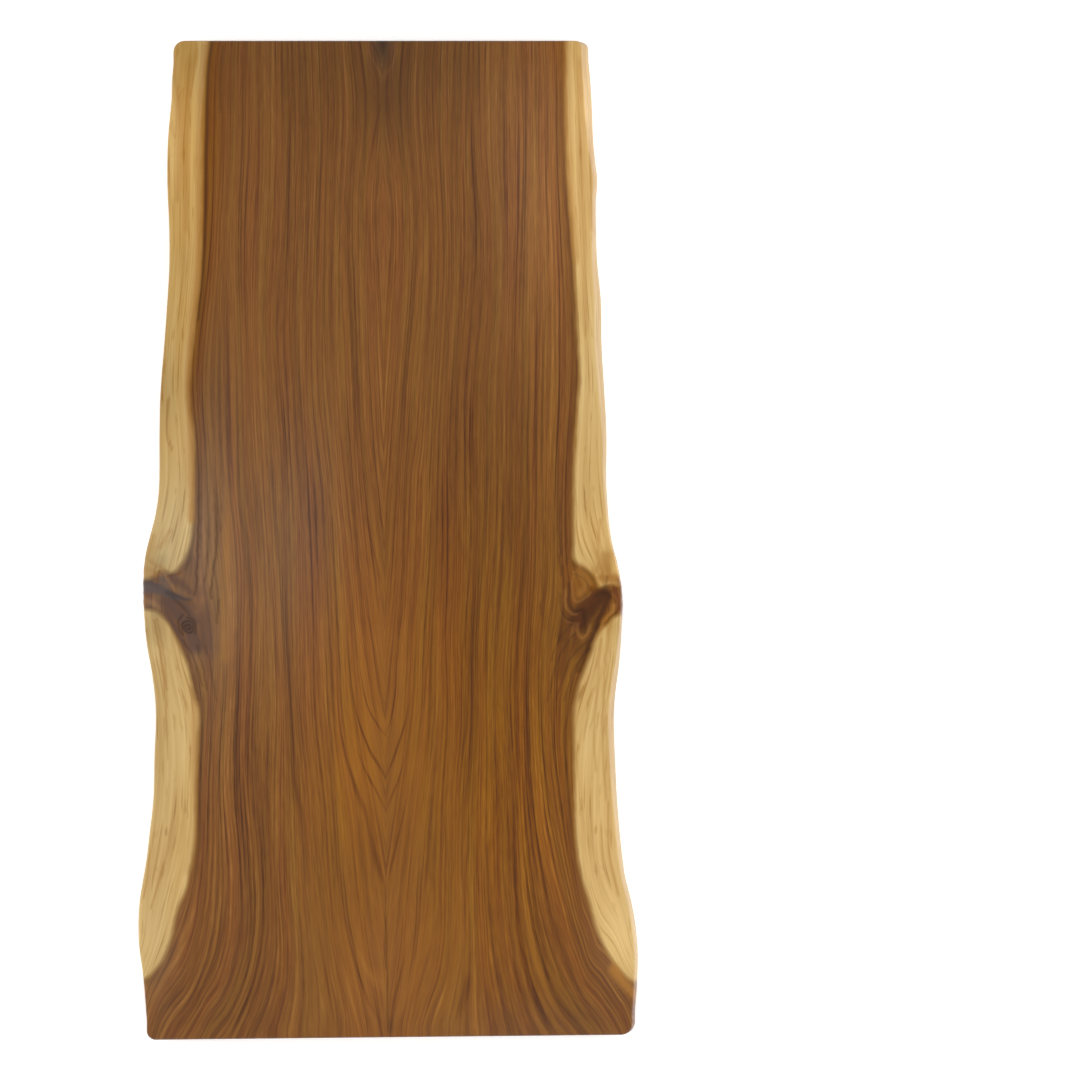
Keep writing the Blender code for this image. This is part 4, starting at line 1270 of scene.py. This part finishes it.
        sides = ((0, high - 1, 0.975, 0.022), (high - 1, wide - 1, 0.885, 0.04),
                 (high + wide - 2, high - 1, 0.752, 0.13), (2 * high + wide - 3, wide - 1, 0.93, 0.04))
        for first, count, floor, tall in sides:
            here = (first + np.arange(count)) % around
            after = (here + 1) % around
            for level, (upper, lower) in enumerate(zip(rings, rings[1:])):
                quads.append(np.column_stack([upper[here], upper[after], lower[after], lower[here]]))
                left, right = np.arange(count) / count, np.arange(1, count + 1) / count
                low = floor + tall * level / (len(rings) - 1)
                step = tall / (len(rings) - 1)
                u = np.column_stack([left, right, right, left])
                v = np.column_stack([np.full(count, low)] * 2 + [np.full(count, low + step)] * 2)
                maps.append(np.stack([u, v], axis=2))
        quads, maps = np.vstack(quads), np.vstack(maps)
        if self.side is Side.LEFT:
            quads, maps = quads[:, ::-1], maps[:, ::-1]
        return points, quads, maps

    def draw_figure(self, mesh: bpy.types.Mesh, points: Array, section: LogSection) -> None:
        """Write what each point of the skin carries: its ring, place, sapwood, stains and casts.

        Args:
            mesh: the board's mesh.
            points: its points.
            section: where the pith ran.
        """
        station = points[:, 1] / MM
        reach = (points[:, 0] - self.seam_x) * self.side.value / MM
        depth = (self.thickness - points[:, 2]) / MM
        face = section.face_reach(self.side, reach, depth)
        places = np.column_stack([station, face])
        strayed = places + self.drift(station, face)
        rings = GrowthFigure(self.lines, SEAM_RINGS).rings(strayed)
        layers = {
            "ring": rings,
            "fibre_line": self.fibre_lines(rings, station, strayed[:, 1]),
            "station": station,
            "sap_depth": SapBoundary(self.sap).depth(places),
            "face_depth": depth,
            "end_gap": self.end_gap(station, reach),
        }
        leaned = np.column_stack([station + self.slant * depth, face]) + self.frayed(station, face)
        for stain in Stain:
            amount = np.zeros(len(points))
            for stroke in self.strokes:
                if stroke.stain is stain:
                    self.paint(amount, leaned, stroke)
            layers[stain.value] = amount
        for cast in Cast:
            amount = np.zeros(len(points))
            for patch in self.patches:
                if patch.cast is cast:
                    away = ((station - patch.station) / patch.half_length)**2
                    away += ((face - patch.reach) / patch.half_breadth)**2
                    amount += patch.strength * np.exp(-away)
            layers[cast.value] = amount
        for name, values in layers.items():
            layer = mesh.attributes.new(name, "FLOAT", "POINT")
            layer.data.foreach_set("value", values.astype(np.float32))

    def end_gap(self, station: Array, reach: Array) -> Array:
        """Measure how far points lie from the nearer end cut, in millimetres."""
        head = self.head_end / MM + self.head_skew * self.side.value * reach
        foot = self.foot_end / MM + self.foot_skew * self.side.value * reach
        return np.minimum(head - station, station - foot)

    def drift(self, station: Array, face: Array) -> Array:
        """Work out how far the growth lines stray from a smooth course, as (station, reach)."""
        stray = np.zeros((len(station), 2))
        seed = self.side.value * 4.7
        for index, (along, out) in enumerate(zip(station, face)):
            broad = noise.noise(Vector((along / 380.0, out / 42.0, seed)))
            close = noise.noise(Vector((along / 130.0, out / 17.0, seed + 20.0)))
            stray[index, 1] = (3.2 * broad + 0.9 * close) * min(max(out / 30.0, 0.0), 1.0)
        return stray

    def frayed(self, station: Array, face: Array) -> Array:
        """Work out how far the outlines of the strokes are frayed, as (station, reach)."""
        stray = np.zeros((len(station), 2))
        near = (face > 300.0) & (np.abs(station + 130.0) < 260.0)
        for index in np.flatnonzero(near):
            along = Vector((station[index] / 16.0, face[index] / 16.0, self.side.value * 2.9))
            across = along + Vector((0.0, 0.0, 31.7))
            stray[index] = (noise.noise(along), noise.noise(across))
        return stray * 2.4

    def fibre_lines(self, rings: Array, station: Array, face: Array) -> Array:
        """Number the fibres: they follow the rings, but run straighter near the seam, where rings turn."""
        inner = self.line_reach(180, station)
        outer = self.line_reach(224, station)
        at_seam = read_along(FIBRES_AT_SEAM, station)
        at_inner = read_along(FIBRES_AT_180, station)
        near = at_seam + (at_inner - at_seam) * face / inner
        far = at_inner + (224 - at_inner) * (face - inner) / (outer - inner)
        straight = np.where(face < inner, near, far)
        away = fade(face / inner, 0.5, 1.0)
        share = read_along(SEAM_STRAIGHTNESS, station) * (1 - away) + read_along(STRAIGHTNESS, station) * away
        share = share * fade(outer - face, 0.0, 14.0)
        return rings + share * (straight - rings)

    def line_reach(self, ring: float, station: Array) -> Array:
        """Read how far out one of the board's growth lines runs at stations."""
        return read_along(next(line.points for line in self.lines if line.ring == ring), station)

    @staticmethod
    def paint(amount: Array, places: Array, stroke: Stroke) -> None:
        """Add one stroke to a stain, where it is stronger than what is there.

        Args:
            amount: the stain at each place, which is changed.
            places: (station, reach) of each place.
            stroke: the stroke.
        """
        path = smooth_path(stroke.points, 3.0)
        last_width = stroke.end_width or stroke.width
        margin = 2.5 * max(stroke.width, last_width)
        near = np.all((places > path.min(0) - margin) & (places < path.max(0) + margin), axis=1)
        if not near.any():
            return
        gap, along = distance_to_path(places[near], path)
        width = stroke.width + (last_width - stroke.width) * along
        cover = stroke.strength * np.exp(-(gap / width)**stroke.edge)
        if stroke.rise:
            cover *= fade(along, 0.0, stroke.rise)
        amount[near] = np.maximum(amount[near], cover)


@dataclass(frozen=True)
class Studio:
    """Plain pale floor, soft light and the camera straight above."""

    floor_span: float = 160.0
    floor_drop: float = 0.0003
    floor_colour: str = "#f2f2f2"
    floor_glow: float = 0.42           # a lit floor, so that the tabletop throws hardly any shadow
    far_glow: float = 0.95             # it glows more where the lamps' light gives out
    glow_range: tuple[float, float] = (2.5, 9.0)
    light_colour: str = "#ffffff"
    light_size: float = 4.2
    light_power: float = 154.0
    light_places: tuple[tuple[float, float, float], ...] = (
        (-5.1, 0.0, 3.6), (5.1, 0.0, 3.6), (0.0, -5.3, 3.7), (0.0, 5.3, 3.7))
    sky_low: float = 1.0
    sky_high: float = 0.08
    # The camera looks straight down, with the tabletop in the left part of the frame
    camera_height: float = 14.0        # above the show face
    show_face: float = 0.050
    frame_width: float = 2.1639        # what the frame takes in at the show face
    aim: tuple[float, float] = (0.3079, -0.0032)
    turn: float = -0.0047              # radians
    sensor: float = 36.0

    def set_up(self) -> None:
        """Lay the floor, hang the lights and set the camera."""
        self.lay_floor()
        self.hang_lights()
        self.set_camera()
        bpy.context.scene.view_settings.view_transform = "Standard"

    def lay_floor(self) -> None:
        """Lay a matt painted floor that runs past every view."""
        half = self.floor_span / 2
        mesh = bpy.data.meshes.new("studio_floor")
        mesh.from_pydata([(-half, -half, 0), (half, -half, 0), (half, half, 0), (-half, half, 0)], [], [(0, 1, 2, 3)])
        bench = NodeBench("matt_painted_floor")
        away = bench.add("ShaderNodeVectorMath", {"operation": "LENGTH"}, {
            0: bench.add("ShaderNodeTexCoord", {}, {}, 3)}, 1)
        glow = bench.add("ShaderNodeMapRange", {"interpolation_type": "SMOOTHSTEP"}, {
            0: away, 1: self.glow_range[0], 2: self.glow_range[1], 3: self.floor_glow, 4: self.far_glow})
        shader = bench.add("ShaderNodeBsdfPrincipled", {}, {
            "Base Color": hex_colour(self.floor_colour), "Roughness": 0.9, "Specular IOR Level": 0.1,
            "Emission Color": (1.0, 1.0, 1.0, 1.0), "Emission Strength": glow})
        bench.add("ShaderNodeOutputMaterial", {}, {"Surface": shader})
        mesh.materials.append(bench.material)
        floor = bpy.data.objects.new("studio_floor", mesh)
        floor.location.z = -self.floor_drop
        bpy.context.scene.collection.objects.link(floor)

    def hang_lights(self) -> None:
        """Hang four large soft lights to the sides and light the room round them, darkest overhead."""
        for index, place in enumerate(self.light_places):
            data = bpy.data.lights.new("softbox_%d" % (index + 1), "AREA")
            data.shape = "SQUARE"
            data.size = self.light_size
            data.energy = self.light_power
            data.color = hex_colour(self.light_colour)[:3]
            light = bpy.data.objects.new(data.name, data)
            light.location = place
            light.rotation_euler = (-Vector(place)).to_track_quat("-Z", "Y").to_euler()
            light.visible_camera = False
            bpy.context.scene.collection.objects.link(light)
        world = bpy.data.worlds.new("studio_room")
        world.use_nodes = True
        nodes, links = world.node_tree.nodes, world.node_tree.links
        place = nodes.new("ShaderNodeTexCoord")
        split = nodes.new("ShaderNodeSeparateXYZ")
        links.new(place.outputs["Generated"], split.inputs[0])
        dome = nodes.new("ShaderNodeMapRange")
        dome.interpolation_type = "SMOOTHSTEP"
        for socket, value in zip(dome.inputs[1:5], (0.05, 0.75, self.sky_low, self.sky_high)):
            socket.default_value = value
        links.new(split.outputs[2], dome.inputs[0])
        links.new(dome.outputs[0], nodes["Background"].inputs["Strength"])
        nodes["Background"].inputs["Color"].default_value = hex_colour(self.light_colour)
        bpy.context.scene.world = world

    def set_camera(self) -> None:
        """Set the camera over the frame's middle, looking straight down."""
        data = bpy.data.cameras.new("camera")
        data.sensor_width = self.sensor
        data.lens = self.sensor * self.camera_height / self.frame_width
        data.clip_end = 200.0
        camera = bpy.data.objects.new("camera", data)
        place = Matrix.Translation((*self.aim, self.show_face + self.camera_height))
        camera.matrix_world = place @ Matrix.Rotation(self.turn, 4, "Z")
        bpy.context.scene.collection.objects.link(camera)
        bpy.context.scene.camera = camera


def main() -> None:
    """Build the studio and both boards."""
    logging.basicConfig(level=logging.INFO, format="%(name)s: %(message)s")
    Studio().set_up()
    section = LogSection()
    finish = LacqueredSuar()
    boards = (
        Board(Side.LEFT, "left_board", "left_board_wood", LEFT_LINES, LEFT_SAP, LEFT_STROKES, LEFT_PATCHES,
              LEFT_DARK_LINES, head_radius=0.023, foot_radius=0.018, stub_station=-0.105),
        Board(Side.RIGHT, "right_board", "right_board_wood", RIGHT_LINES, RIGHT_SAP, RIGHT_STROKES, RIGHT_PATCHES,
              RIGHT_DARK_LINES, head_radius=0.015, foot_radius=0.023, stub_station=-0.115),
    )
    for board in boards:
        piece = board.build(section, finish)
        log.info("%s: %d points, %d faces", piece.name, len(piece.data.vertices), len(piece.data.polygons))


if __name__ == "__main__":
    main()
